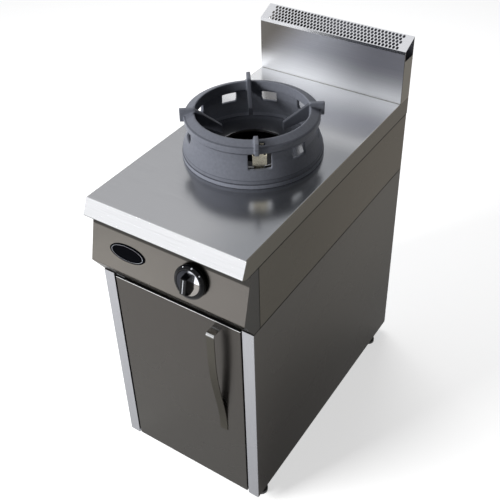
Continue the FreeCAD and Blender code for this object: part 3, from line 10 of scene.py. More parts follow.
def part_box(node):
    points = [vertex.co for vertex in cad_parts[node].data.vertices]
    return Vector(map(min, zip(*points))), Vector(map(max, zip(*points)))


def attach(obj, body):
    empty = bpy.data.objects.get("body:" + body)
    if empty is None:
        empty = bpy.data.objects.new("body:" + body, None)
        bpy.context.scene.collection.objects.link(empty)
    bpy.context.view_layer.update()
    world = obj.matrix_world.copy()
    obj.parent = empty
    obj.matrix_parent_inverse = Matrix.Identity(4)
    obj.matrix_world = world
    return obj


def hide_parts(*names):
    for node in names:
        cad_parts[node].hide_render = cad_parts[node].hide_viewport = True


bl_info = {
    "name": "Gas wok range",
    "version": (1, 1, 0),
    "blender": (4, 5, 0),
    "location": "3D View > Sidebar > Wok Range",
    "description": "Dresses the packed solids of a gas wok range and sets up its studio",
    "category": "Object",
}

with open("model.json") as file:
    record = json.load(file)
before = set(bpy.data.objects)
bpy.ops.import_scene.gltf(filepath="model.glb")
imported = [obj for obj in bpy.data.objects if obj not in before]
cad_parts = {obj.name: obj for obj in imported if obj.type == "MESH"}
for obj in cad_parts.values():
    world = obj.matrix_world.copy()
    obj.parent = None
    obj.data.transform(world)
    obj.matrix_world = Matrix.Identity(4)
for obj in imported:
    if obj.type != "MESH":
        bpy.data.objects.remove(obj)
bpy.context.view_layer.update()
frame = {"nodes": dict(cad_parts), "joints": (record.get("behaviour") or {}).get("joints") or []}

MM = 0.001

WORKTOP_LOW, WORKTOP_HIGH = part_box("worktop")
RING_LOW, RING_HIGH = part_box("wok_ring")
PANEL_LOW, PANEL_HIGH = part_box("control_panel")
BADGE_LOW, BADGE_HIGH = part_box("badge_plate")
SIDE_LOW, SIDE_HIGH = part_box("upper_side_right")
STAND_LOW, STAND_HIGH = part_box("stand_side_right")
FLUE_LOW, FLUE_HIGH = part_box("flue_box")
CAP_LOW, CAP_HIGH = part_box("flue_cap")
DOOR_LOW, DOOR_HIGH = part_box("door_skin")
HANDLE_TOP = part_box("door_handle")[1].z

LIP_REACH = 17 * MM
COLLAR_HEIGHT = 4 * MM
FRONT_EDGE = WORKTOP_LOW.y + LIP_REACH
TABLE_TOP = WORKTOP_HIGH.z - COLLAR_HEIGHT

TURN = next(joint for joint in frame["joints"] if joint["name"] == "knob_turn")
KNOB_SEAT = Vector(TURN["pos_m"])
KNOB_OUT = Vector(TURN["axis"]).normalized()
KNOB_ACROSS = Vector((1, 0, 0))
KNOB_UP = KNOB_OUT.cross(KNOB_ACROSS).normalized()


def tone(red, green=None, blue=None):
    """A colour as a photographer reads it, 0 to 255, turned into scene light."""
    channels = (red, red if green is None else green, red if blue is None else blue)
    linear = []
    for channel in channels:
        share = channel / 255
        linear.append(share / 12.92 if share <= 0.04045 else ((share + 0.055) / 1.055) ** 2.4)
    return (*linear, 1.0)


# ---- settings
def colour_setting(name, description, default):
    return FloatVectorProperty(
        name=name, description=description, default=default, size=4, min=0.0, max=1.0, subtype="COLOR"
    )


def number_setting(name, description, default, **kind):
    return FloatProperty(name=name, description=description, default=default, **kind)


def length_setting(name, description, default):
    return number_setting(name, description, default, min=0.0, unit="LENGTH")


def share_setting(name, description, default):
    return number_setting(name, description, default, min=0.0, max=1.0, subtype="FACTOR")


def strength_setting(name, description, default):
    return number_setting(name, description, default, min=0.0)


def angle_setting(name, description, degrees):
    return number_setting(name, description, math.radians(degrees), subtype="ANGLE", unit="ROTATION")


class WokRangeFinishes(bpy.types.PropertyGroup):
    """Colours and finishes of the range's metals and plastics. The steel's colours are painted reflection
    and shade: each sheet and face of the one steel has its own tone.
    """

    steel_roughness: share_setting("Steel Roughness", "Blur of what the brushed sheet mirrors", 0.27)
    table_roughness: share_setting("Worktop Roughness", "Blur of what the worktop mirrors", 0.2)
    flue_roughness: share_setting("Flue Roughness", "Blur of what the flue mirrors", 0.36)
    cap_roughness: share_setting("Cap Roughness", "Blur of what the flue's cap mirrors", 0.24)
    brush_depth: share_setting("Brushing", "How far the brushing lightens and darkens the sheet", 0.06)
    # The worktop's front lip, side lips, right end and back are painted reflection and shade.
    lip_reflection_colour: colour_setting("Front Lip", "Bright front lip of the worktop", tone(238, 239, 242))
    side_lip_reflection_colour: colour_setting("Side Lip", "Lips at the worktop's sides", tone(98, 95, 88))
    table_colour: colour_setting("Worktop", "Worktop at its front", tone(170, 171, 174))
    table_right_shade_colour: colour_setting("Worktop Right", "Worktop at its right", tone(130, 133, 138))
    table_back_reflection_colour: colour_setting("Worktop Back", "Worktop near the flue", tone(240, 241, 243))
    # The flue's foot, left part, right part and sides are painted reflection and shade.
    flue_colour: colour_setting("Flue", "Front of the flue", tone(158, 160, 168))
    flue_low_reflection_colour: colour_setting("Flue Foot", "Front of the flue at its foot", tone(240, 242, 246))
    flue_left_reflection_colour: colour_setting("Flue Left", "Left of the flue's front", tone(88, 85, 82))
    flue_left_low_reflection_colour: colour_setting("Flue Left Foot", "Foot of that part", tone(208, 209, 212))
    flue_right_shade_colour: colour_setting("Flue Right", "Right of the flue's front", tone(108, 108, 117))
    flue_side_reflection_colour: colour_setting("Flue Side", "Sides of the flue", tone(138, 132, 121))
    # Painted reflection: the cap's sheet and its darker front bend.
    cap_colour: colour_setting("Flue Cap", "Sheet of the flue's cap", tone(218, 219, 223))
    cap_edge_reflection_colour: colour_setting("Flue Cap Edge", "Front bend of the cap", tone(168, 169, 172))
    # The panel's right, foot and cheeks are painted shade.
    panel_colour: colour_setting("Control Panel", "Control panel", tone(100, 97, 93))
    panel_right_shade_colour: colour_setting("Panel Right", "Right of the control panel", tone(92, 89, 86))
    panel_foot_shade_colour: colour_setting("Panel Foot", "Lower edge of the control panel", tone(78, 74, 68))
    cheek_shade_colour: colour_setting("Cheek", "Cheeks of the control panel", tone(80, 79, 77))
    # The module's and the stand's sides are painted reflection, with tones that change towards the back
    # and the floor.
    side_colour: colour_setting("Module Side", "Module's sides at the front", tone(92, 89, 83))
    side_back_reflection_colour: colour_setting("Module Side Back", "Those sides at the back", tone(113, 108, 100))
    stand_colour: colour_setting("Stand Side", "Stand's sides near the seam", tone(92, 90, 87))
    stand_low_reflection_colour: colour_setting("Stand Side Foot", "Those sides near the floor", tone(73, 71, 69))
    stand_back_reflection_colour: colour_setting("Stand Side Back", "Those sides at the back", tone(110, 107, 102))
    # The door's tones are painted reflection.
    door_colour: colour_setting("Door", "Door at its top", tone(68, 65, 62))
    door_low_colour: colour_setting("Door Foot", "Door at its foot", tone(68, 66, 63))
    # Painted highlight on the handle's top end, and painted reflection on its face and sides.
    handle_colour: colour_setting("Door Handle", "Face of the handle", tone(77, 75, 70))
    handle_top_highlight_colour: colour_setting("Handle Top", "Top end of the handle", tone(196, 197, 198))
    handle_side_reflection_colour: colour_setting("Handle Side", "Sides of the handle", tone(132, 128, 121))
    # The posts' light tone is a painted reflection of the same steel.
    post_reflection_colour: colour_setting("Posts", "Front posts of the stand", tone(163, 164, 168))
    iron_colour: colour_setting("Cast Iron", "Coated iron of the wok ring", tone(110, 113, 122))
    # Darker tone of the ring's arms, and of its painted shade lines.
    ring_dark_colour: colour_setting("Soot", "Soot and dark lines on the wok ring", tone(56, 58, 65))
    plastic_colour: colour_setting("Black Plastic", "Knob and badge", tone(10, 11, 14))
    bracket_colour: colour_setting("Bracket", "Plated pilot bracket", tone(222, 214, 192))


class WokRangePieces(bpy.types.PropertyGroup):
    """Sizes of the pieces that this add-on makes finer than the solids."""

    badge_round: length_setting("Badge Rounding", "Radius along the badge's edges", 0.5 * MM)
    cast_cell: length_setting("Casting Cell", "Cell of the mesh that rounds the ring", 1.4 * MM)
    cap_tilt: angle_setting("Cap Tilt", "Slope of the flue's perforated cap", 23.5)
    cap_columns: IntProperty(name="Cap Columns", description="Slots in a row", default=39, min=2)
    cap_rows: IntProperty(name="Cap Rows", description="Rows of slots", default=5, min=1)
    cap_margin: length_setting("Cap Margin", "Plain strip at each end of the cap", 20 * MM)
    cap_slot_width: length_setting("Slot Width", "Width of a slot in the cap", 6.7 * MM)
    cap_slot_length: length_setting("Slot Length", "Length of a slot in the cap", 9.4 * MM)
    cap_gauge: length_setting("Cap Gauge", "Sheet thickness of the cap", 1 * MM)
    skirt_radius: length_setting("Skirt Radius", "Largest radius of the knob", 38 * MM)
    disc_radius: length_setting("Disc Radius", "Radius of the bright disc in the knob's face", 28 * MM)
    grip_length: length_setting("Grip Length", "Length of the knob's grip bar", 46 * MM)
    grip_width: length_setting("Grip Width", "Width of the knob's grip bar", 16.5 * MM)
    grip_rise: length_setting("Grip Rise", "Grip bar above the knob's face", 17 * MM)


class WokRangeStudio(bpy.types.PropertyGroup):
    """Camera and lights round the range."""

    lens: strength_setting("Focal Length", "In millimetres, on a sensor 36 mm wide", 58.17)
    azimuth: angle_setting("Azimuth", "Turn of the camera to the right of the range's front", 33.72)
    elevation: angle_setting("Elevation", "Angle by which the camera looks down", 36.73)
    roll: angle_setting("Roll", "Clockwise tilt of the camera", 1.54)
    key_power: strength_setting("Key Light", "Power of the light at the front left, in watts", 118)
    top_power: strength_setting("Top Light", "Power of the light behind and above, in watts", 26)
    fill_left: strength_setting("Left Fill", "Even light from the left", 0.5)
    fill_right: strength_setting("Right Fill", "Even light from the right", 0.01)


# ---- finishes
class Nodes:
    """Makes and joins the nodes of a material or of the world."""

    def __init__(self, tree):
        self.tree = tree
        self.source = self.add("ShaderNodeTexCoord")

    def add(self, kind, **settings):
        """A new node, with its settings."""
        node = self.tree.nodes.new(kind)
        for name, value in settings.items():
            setattr(node, name, value)
        return node

    def feed(self, socket, value):
        """A number, a colour or another node's output goes into the socket."""
        if isinstance(value, bpy.types.NodeSocket):
            self.tree.links.new(value, socket)
        else:
            socket.default_value = value

    def split(self, output, letter):
        """X, Y or Z of a place or a direction."""
        node = self.add("ShaderNodeSeparateXYZ")
        self.feed(node.inputs["Vector"], self.source.outputs[output])
        return node.outputs[letter]

    def work(self, operation, *values):
        """The result of a sum with these values."""
        node = self.add("ShaderNodeMath", operation=operation)
        for socket, value in zip(node.inputs, values):
            self.feed(socket, value)
        return node.outputs["Value"]

    def share(self, value, low, high):
        """0 up to low, 1 from high on, and smooth between them."""
        span = self.add("ShaderNodeMapRange", interpolation_type="SMOOTHSTEP")
        self.feed(span.inputs["Value"], value)
        self.feed(span.inputs["From Min"], low)
        self.feed(span.inputs["From Max"], high)
        return span.outputs["Result"]

    def show(self, plain, seen, output):
        """Lights with the plain shader, and shows the other to the camera, mirrors and glass."""
        rays = self.add("ShaderNodeLightPath").outputs
        mirrored = self.work("MAXIMUM", rays["Is Camera Ray"], rays["Is Glossy Ray"])
        mix = self.add("ShaderNodeMixShader")
        self.feed(mix.inputs["Fac"], self.work("MAXIMUM", mirrored, rays["Is Transmission Ray"]))
        self.feed(mix.inputs[1], plain)
        self.feed(mix.inputs[2], seen)
        self.feed(self.tree.nodes[output].inputs["Surface"], mix.outputs["Shader"])


class Finish(Nodes):
    """One finish of the range: a material, its shader and the nodes that feed it."""

    def __init__(self, name, colour, roughness, metallic=0.0, gloss=0.5):
        self.material = bpy.data.materials.new(name)
        self.material.use_nodes = True
        super().__init__(self.material.node_tree)
        self.shader = self.tree.nodes["Principled BSDF"]
        self.shader.inputs["Base Color"].default_value = colour
        self.shader.inputs["Roughness"].default_value = roughness
        self.shader.inputs["Metallic"].default_value = metallic
        self.shader.inputs["Specular IOR Level"].default_value = gloss
        self.roughness = roughness

    def place(self, letter):
        """Place on the range along X, Y or Z, in metres."""
        return self.split("Object", letter)

    def facing(self, letter):
        """1 where the surface faces along the axis, either way, and 0 where it lies along it."""
        size = self.work("ABSOLUTE", self.split("Normal", letter), 0.0)
        return self.share(size, 0.25, 0.5)

    def band(self, value, middle, half_width):
        """1 within half_width of the middle, and 0 outside it."""
        return self.work("COMPARE", value, middle, half_width)

    def blend(self, share, first, second):
        """The first colour where share is 0 and the second where it is 1."""
        node = self.add("ShaderNodeMix", data_type="RGBA")
        colours = [socket for socket in node.inputs if socket.type == "RGBA"]
        self.feed(node.inputs[0], share)
        self.feed(colours[0], first)
        self.feed(colours[1], second)
        return next(socket for socket in node.outputs if socket.type == "RGBA")

    def wash(self, share, strength, first, second):
        """As blend, with only so much of the second colour where share is 1."""
        return self.blend(self.work("MULTIPLY", share, strength), first, second)

    def noise(self, stretch, detail):
        """Noise with so many grains to a metre along X, Y and Z."""
        mapping = self.add("ShaderNodeMapping")
        mapping.inputs["Scale"].default_value = stretch
        self.feed(mapping.inputs["Vector"], self.source.outputs["Object"])
        grain = self.add("ShaderNodeTexNoise")
        grain.inputs["Scale"].default_value = 1.0
        grain.inputs["Detail"].default_value = detail
        self.feed(grain.inputs["Vector"], mapping.outputs["Vector"])
        return grain.outputs["Fac"]

    def even_noise(self, grains, detail):
        """Noise with so many grains to a metre every way."""
        return self.noise((grains, grains, grains), detail)

    def colour(self, value, streaks, depth):
        """The finish's colour, lightened and darkened by the streaks."""
        span = self.add("ShaderNodeMapRange")
        self.feed(span.inputs["Value"], streaks)
        span.inputs["From Min"].default_value = NOISE_LOW
        span.inputs["From Max"].default_value = NOISE_HIGH
        span.inputs["To Min"].default_value = 1.0 - depth
        span.inputs["To Max"].default_value = 1.0 + depth
        scale = self.add("ShaderNodeVectorMath", operation="SCALE")
        self.feed(scale.inputs[0], value if isinstance(value, bpy.types.NodeSocket) else value[:3])
        self.feed(scale.inputs["Scale"], span.outputs["Result"])
        self.feed(self.shader.inputs["Base Color"], scale.outputs["Vector"])

    def vary_roughness(self, streaks, spread):
        """Smoother and rougher than the finish's roughness by the spread."""
        span = self.add("ShaderNodeMapRange")
        self.feed(span.inputs["Value"], streaks)
        span.inputs["To Min"].default_value = self.roughness - spread
        span.inputs["To Max"].default_value = self.roughness + spread
        self.feed(self.shader.inputs["Roughness"], span.outputs["Result"])

    def bump(self, height, strength, distance):
        """Unevenness too fine to be modelled."""
        node = self.add("ShaderNodeBump")
        node.inputs["Strength"].default_value = strength
        node.inputs["Distance"].default_value = distance
        self.feed(node.inputs["Height"], height)
        self.feed(self.shader.inputs["Normal"], node.outputs["Normal"])


# Nearly all of a noise's values lie between these.
NOISE_LOW = 0.25
NOISE_HIGH = 0.75
# Grains to a metre across the brushing and along it.
FINE_BRUSHING = 1400.0
LONG_BRUSHING = 9.0
BRUSHED_UP = (FINE_BRUSHING, FINE_BRUSHING, LONG_BRUSHING)
BRUSHED_ACROSS = (LONG_BRUSHING, 60.0, FINE_BRUSHING)
BRUSHED_TO_BACK = (FINE_BRUSHING, LONG_BRUSHING, FINE_BRUSHING)
BRUSHED_TABLE = (LONG_BRUSHING, FINE_BRUSHING, 40.0)
BRUSHED_CAP = (LONG_BRUSHING, FINE_BRUSHING, FINE_BRUSHING)
POLISHED = (FINE_BRUSHING, FINE_BRUSHING, FINE_BRUSHING)
EDGE_SHEEN = (0.45, 0.45, 0.45, 1.0)
# Painted shade in seams and gaps, under edges and on the door's top face.
PAINTED_SHADE_COLOUR = tone(34, 34, 33)
WELD_COLOUR = tone(96, 90, 74)
FLUE_CORNER_COLOUR = tone(84, 80, 74)
# Painted highlight along the top edge of the door.
DOOR_TOP_HIGHLIGHT = tone(240, 241, 242)

# How far these sheets act as mirrors. The rest of the steel does wholly.
TABLE_MIRROR = 0.92
FLUE_MIRROR = 0.6
DOOR_MIRROR = 0.6

# The ring's arms are darker inside the first radius, and the darkening ends at the second.
DARK_ARMS_FULL = 122.5 * MM
DARK_ARMS_END = 124.5 * MM
DARK_ARMS_DEPTH = 0.75
# Painted shade lines round the ring, along its steps and under its rim: height over its foot, half width,
# and depth of tone.
RING_SHADE_LINES = (
    (11.0 * MM, 1.2 * MM, 0.9),
    (20.0 * MM, 0.8 * MM, 0.5),
    (79.5 * MM, 2.2 * MM, 0.8),
    (96.0 * MM, 0.9 * MM, 0.5),
)


def brushed_steel(name, stretch, roughness, paint, mirror=1.0):
    """Brushed sheet steel. stretch is its grain, paint(finish) its colour, mirror how far it reflects."""
    finish = Finish(name, tone(128), roughness, mirror)
    finish.shader.inputs["Specular Tint"].default_value = EDGE_SHEEN
    streaks = finish.noise(stretch, 3.0)
    clouds = finish.even_noise(5.0, 2.0)
    finish.colour(paint(finish), streaks, finishes().brush_depth)
    finish.vary_roughness(clouds, 0.05)
    finish.bump(streaks, 0.05, 0.1 * MM)
    return finish.material


def plain_steel(name, colour, roughness):
    """Sheet steel of one colour, brushed up and down."""
    return brushed_steel(name, BRUSHED_UP, roughness, lambda finish: colour)


def plated(name, colour, roughness):
    """Plated or cast metal without brushing, with soft clouds in its tone."""
    finish = Finish(name, colour, roughness, 1.0)
    clouds = finish.even_noise(60.0, 3.0)
    finish.colour(colour, clouds, 0.12)
    finish.vary_roughness(clouds, 0.08)
    finish.bump(clouds, 0.03, 0.4 * MM)
    return finish.material


def ring_marks(finish, iron, pale):
    """The painted highlight on the ring's foot, the painted shade lines round its outside and the darker
    tone of its arms.
    """
    dark_iron = finishes().ring_dark_colour
    middle = (RING_LOW + RING_HIGH) / 2
    beside = finish.work("SUBTRACT", finish.place("X"), middle.x)
    along = finish.work("SUBTRACT", finish.place("Y"), middle.y)
    height = finish.place("Z")
    spread = finish.work("ADD", finish.work("POWER", beside, 2.0), finish.work("POWER", along, 2.0))
    arms = finish.share(spread, DARK_ARMS_END**2, DARK_ARMS_FULL**2)
    outward = finish.work(
        "ADD",
        finish.work("MULTIPLY", finish.split("Normal", "X"), beside),
        finish.work("MULTIPLY", finish.split("Normal", "Y"), along),
    )
    outside = finish.share(outward, 10 * MM, 50 * MM)
    # Painted highlight on the ring's foot band.
    foot = finish.share(height, RING_LOW.z + 10.5 * MM, RING_LOW.z + 8.5 * MM)
    marked = finish.wash(foot, 0.7, iron, pale)
    # Painted shade along the ring's steps and under its rim, on its outside only.
    for level, half_width, depth in RING_SHADE_LINES:
        line = finish.band(height, RING_LOW.z + level, half_width)
        marked = finish.wash(finish.work("MULTIPLY", line, outside), depth, marked, dark_iron)
    # The arms are darker inside the first radius.
    return finish.wash(arms, DARK_ARMS_DEPTH, marked, dark_iron)


def cast_iron(name, colour, gloss, marks=None):
    """Sand-cast iron with a coarse and a fine grain, paler along its edges, and marked by marks()."""
    finish = Finish(name, colour, 0.42, 0.0, gloss)
    coarse = finish.even_noise(160.0, 4.0)
    fine = finish.even_noise(700.0, 2.0)
    both = finish.work("ADD", coarse, finish.work("MULTIPLY", fine, 0.5))
    # Pointiness is a half where the casting is flat, and more along its edges.
    worn = finish.add("ShaderNodeNewGeometry").outputs["Pointiness"]
    pale = tuple(min(1.0, channel * 1.5) for channel in colour[:3]) + (1.0,)
    iron = finish.blend(finish.share(worn, 0.52, 0.6), colour, pale)
    if marks:
        iron = marks(finish, iron, pale)
    finish.colour(iron, coarse, 0.09)
    finish.vary_roughness(fine, 0.08)
    finish.bump(both, 0.5, 0.6 * MM)
    return finish.material


def moulded_plastic(name, colour, roughness, gloss=0.5):
    """Moulded plastic with the faint unevenness of its mould."""
    finish = Finish(name, colour, roughness, 0.0, gloss)
    waves = finish.even_noise(90.0, 2.0)
    finish.vary_roughness(waves, 0.04)
    finish.bump(waves, 0.05, 0.3 * MM)
    return finish.material


# ---- pieces
CORNER_ANGLE = math.radians(30)
SMOOTH_ANGLE = math.radians(35)
WELD_DISTANCE = 0.02 * MM
KNOB_STEPS = 64


def cad(node):
    """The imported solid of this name."""
    return frame["nodes"][node]


def rounded(item, width, segments):
    """Rounds the piece's sharp edges."""
    bevel = item.modifiers.new("edge rounding", "BEVEL")
    bevel.width = width
    bevel.segments = segments
    bevel.limit_method = "ANGLE"
    bevel.angle_limit = CORNER_ANGLE
    bevel.harden_normals = True


def dress(material, *nodes):
    """Gives CAD pieces their material."""
    for node in nodes:
        item = cad(node)
        item.data.materials.clear()
        item.data.materials.append(material)


def make_piece(name, points, faces, material, body, slot):
    """A new mesh piece in the range's frame, riding on one of its bodies."""
    mesh = bpy.data.meshes.new(name)
    mesh.from_pydata([tuple(point) for point in points], [], faces)
    mesh.materials.append(material)
    item = bpy.data.objects.new(name, mesh)
    bpy.context.scene.collection.objects.link(item)
    shape = bmesh.new()
    shape.from_mesh(mesh)
    bmesh.ops.remove_doubles(shape, verts=shape.verts, dist=WELD_DISTANCE)
    bmesh.ops.recalc_face_normals(shape, faces=shape.faces)
    shape.to_mesh(mesh)
    shape.free()
    mesh.shade_smooth()
    mesh.set_sharp_from_angle(angle=SMOOTH_ANGLE)
    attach(item, body)
    return item


def sides(start, count):
    """Faces between the loop of points that begins at start and the loop after it."""
    faces = []
    for step in range(count):
        beside = (step + 1) % count
        faces.append((start + step, start + beside, start + count + beside, start + count + step))
    return faces


def knob_point(across, up, out):
    """A point on the knob: across and up over the panel, and out from it."""
    return KNOB_SEAT + KNOB_ACROSS * across + KNOB_UP * up + KNOB_OUT * out


def turned(profile):
    """Points and faces of a piece turned about the knob's axis from (radius, out) pairs."""
    points = []
    faces = []
    for radius, out in profile:
        for step in range(KNOB_STEPS):
            angle = math.tau * step / KNOB_STEPS
            points.append(knob_point(radius * math.cos(angle), radius * math.sin(angle), out))
    last = (len(profile) - 1) * KNOB_STEPS
    for start in range(0, last, KNOB_STEPS):
        faces += sides(start, KNOB_STEPS)
    faces.append(tuple(range(KNOB_STEPS)))
    faces.append(tuple(range(last, last + KNOB_STEPS)))
    return points, faces


def finishes():
    return bpy.context.scene.wok_finishes


def sizes():
    return bpy.context.scene.wok_pieces


def studio():
    return bpy.context.scene.wok_studio


# ---- operators
class WOKRANGE_OT_worktop(bpy.types.Operator):
    """Dress the worktop"""

    bl_idname = "wok_range.worktop"
    bl_label = "Worktop"

    def execute(self, context):
        values = finishes()

        def paint(finish):
            length = finish.place("Y")
            height = finish.place("Z")
            # Painted reflection, paler near the flue, and painted shade, darker to the right; and a line
            # where the flue is welded on.
            back = finish.share(length, FRONT_EDGE + 400 * MM, FRONT_EDGE + 560 * MM)
            right = finish.share(finish.place("X"), 40 * MM, WORKTOP_HIGH.x)
            table = finish.wash(right, 0.7, values.table_colour, values.table_right_shade_colour)
            table = finish.blend(back, table, values.table_back_reflection_colour)
            weld = finish.band(length, FLUE_LOW.y, 2.2 * MM)
            table = finish.wash(weld, 0.85, table, WELD_COLOUR)
            # The front lip in a bright painted reflection, with painted shade along its lower edge; the
            # lips at the sides in a darker painted reflection, with painted shade along their lower edge.
            lip = finish.share(length, FRONT_EDGE + 0.5 * MM, FRONT_EDGE - 1.0 * MM)
            front = finish.blend(lip, table, values.lip_reflection_colour)
            under = finish.share(height, WORKTOP_LOW.z + 9.6 * MM, WORKTOP_LOW.z + 8.2 * MM)
            front = finish.wash(under, lip, front, PAINTED_SHADE_COLOUR)
            side_back = finish.share(length, FRONT_EDGE, WORKTOP_HIGH.y)
            side = finish.blend(side_back, values.side_lip_reflection_colour, values.side_back_reflection_colour)
            edge = finish.band(height, WORKTOP_LOW.z, 1.2 * MM)
            side = finish.blend(edge, side, PAINTED_SHADE_COLOUR)
            return finish.blend(finish.facing("X"), front, side)

        rough = values.table_roughness
        dress(brushed_steel("worktop steel", BRUSHED_TABLE, rough, paint, TABLE_MIRROR), "worktop")
        return {"FINISHED"}


# The cap's plain strips: before its rows of slots, and before and behind them together.
CAP_FRONT_STRIP = 1.5 * MM
CAP_STRIPS = 4 * MM


class WOKRANGE_OT_flue(bpy.types.Operator):
    """Dress the flue and make its perforated cap"""

    bl_idname = "wok_range.flue"
    bl_label = "Flue"

    def execute(self, context):
        values = finishes()

        def paint(finish):
            height = finish.place("Z")
            across = finish.place("X")
            # Painted reflection: bright at its foot, and a dark left part that leans to the right as it
            # rises.
            rise = finish.share(height, TABLE_TOP, TABLE_TOP + 95 * MM)
            low_rise = finish.share(height, TABLE_TOP, TABLE_TOP + 60 * MM)
            bright = finish.blend(rise, values.flue_low_reflection_colour, values.flue_colour)
            dark = finish.blend(low_rise, values.flue_left_low_reflection_colour, values.flue_left_reflection_colour)
            slant = finish.work("MULTIPLY", finish.work("SUBTRACT", height, TABLE_TOP), 0.9)
            left = finish.share(finish.work("SUBTRACT", across, slant), -120 * MM, -270 * MM)
            front = finish.blend(left, bright, dark)
            # Painted shade and reflection darken it to the right above its foot, with a line along the
            # corner.
            right = finish.work("MULTIPLY", finish.share(across, -20 * MM, 130 * MM), rise)
            front = finish.wash(right, 0.6, front, values.flue_right_shade_colour)
            edge = finish.band(across, FLUE_HIGH.x, 1.2 * MM)
            front = finish.blend(edge, front, FLUE_CORNER_COLOUR)
            # The sides in a darker painted reflection.
            return finish.blend(finish.facing("X"), front, values.flue_side_reflection_colour)

        def paint_cap(finish):
            # Painted reflection: the sloping sheet lighter than its front bend.
            return finish.blend(finish.facing("Z"), values.cap_edge_reflection_colour, values.cap_colour)

        steel = brushed_steel("flue steel", BRUSHED_ACROSS, values.flue_roughness, paint, FLUE_MIRROR)
        dress(steel, "flue_box")
        dress(plain_steel("baffle steel", tone(60), values.steel_roughness), "flue_baffle")
        self.make_cap(brushed_steel("flue cap steel", BRUSHED_CAP, values.cap_roughness, paint_cap))
        return {"FINISHED"}

    def make_cap(self, material):
        """The bent sheet over the flue, with staggered rows of slots."""
        values = sizes()
        half_cell = (CAP_HIGH.x - CAP_LOW.x - 2 * values.cap_margin) / values.cap_columns / 2
        run = CAP_HIGH.y - CAP_LOW.y
        slope = run / math.cos(values.cap_tilt)
        front_rise = CAP_HIGH.z - run * math.tan(values.cap_tilt)
        half_row = (slope - CAP_STRIPS) / values.cap_rows / 2
        first = CAP_FRONT_STRIP + half_row

        def sheet(across, climb):
            """A point on the sloping sheet: across it, and up its slope from the front bend."""
            return (
                across,
                CAP_LOW.y + climb * math.cos(values.cap_tilt),
                front_rise + climb * math.sin(values.cap_tilt),
            )

        points = []
        faces = []

        def panel(*corners):
            start = len(points)
            points.extend(corners)
            faces.append(tuple(range(start, start + len(corners))))

        # The rim of a slot's square cell, four steps to a side, from its lower right corner on.
        square = [(1, -1), (1, -0.5), (1, 0), (1, 0.5), (1, 1), (0.5, 1), (0, 1), (-0.5, 1)]
        square += [(-across, -climb) for across, climb in square]
        end_radius = values.cap_slot_width / 2
        straight = values.cap_slot_length / 2 - end_radius
        for row in range(values.cap_rows):
            climb = first + row * 2 * half_row
            shifted = row % 2
            count = values.cap_columns - shifted
            start = -(count - 1) * half_cell
            for column in range(count):
                middle = start + column * 2 * half_cell
                rim = []
                slot = []
                for side, end in square:
                    rim.append(sheet(middle + side * half_cell, climb + end * half_row))
                    angle = math.atan2(end, side)
                    lift = straight * (0 if end == 0 else math.copysign(1, end))
                    across = middle + end_radius * math.cos(angle)
                    slot.append(sheet(across, climb + lift + end_radius * math.sin(angle)))
                for step in range(len(square)):
                    beside = (step + 1) % len(square)
                    panel(rim[step], rim[beside], slot[beside], slot[step])
            # The plain strips beside the row, which is shorter where it is shifted.
            reach = count * half_cell
            for low in (-1, -0.5, 0, 0.5):
                under = climb + low * half_row
                over = climb + (low + 0.5) * half_row
                for left, right in ((CAP_LOW.x, -reach), (reach, CAP_HIGH.x)):
                    panel(sheet(left, under), sheet(right, under), sheet(right, over), sheet(left, over))
        # The turned-down front, the plain strips before and behind the rows, and the turned-down back.
        steps = values.cap_columns * 4
        marks = [CAP_LOW.x]
        marks += [-values.cap_columns * half_cell + step * half_cell / 2 for step in range(steps + 1)]
        marks.append(CAP_HIGH.x)
        before = first - half_row
        last = first + (2 * values.cap_rows - 1) * half_row
        foot = CAP_LOW.z
        hem = CAP_HIGH.z - (front_rise - CAP_LOW.z)
        for here, there in zip(marks, marks[1:]):
            panel((here, CAP_LOW.y, foot), (there, CAP_LOW.y, foot), sheet(there, 0), sheet(here, 0))
            panel(sheet(here, 0), sheet(there, 0), sheet(there, before), sheet(here, before))
            panel(sheet(here, last), sheet(there, last), sheet(there, slope), sheet(here, slope))
            hem_edge = ((there, CAP_HIGH.y, hem), (here, CAP_HIGH.y, hem))
            panel(sheet(here, slope), sheet(there, slope), *hem_edge)
        cap = make_piece("flue_cap_sheet", points, faces, material, "cabinet", "worktop_steel")
        cap.data.shade_flat()
        gauge = cap.modifiers.new("sheet gauge", "SOLIDIFY")
        gauge.thickness = values.cap_gauge
        gauge.offset = -1.0
        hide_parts("flue_cap")


# The badge: height over length, face over the panel, and its line's section as
# (share of the half length, millimetres over the face).
BADGE_SHAPE = 38 / 94
BADGE_FACE = 2.0 * MM
BADGE_LINE = ((0.90, -0.3), (0.90, 0.12), (0.88, 0.12), (0.88, -0.3))
BADGE_STEPS = 72


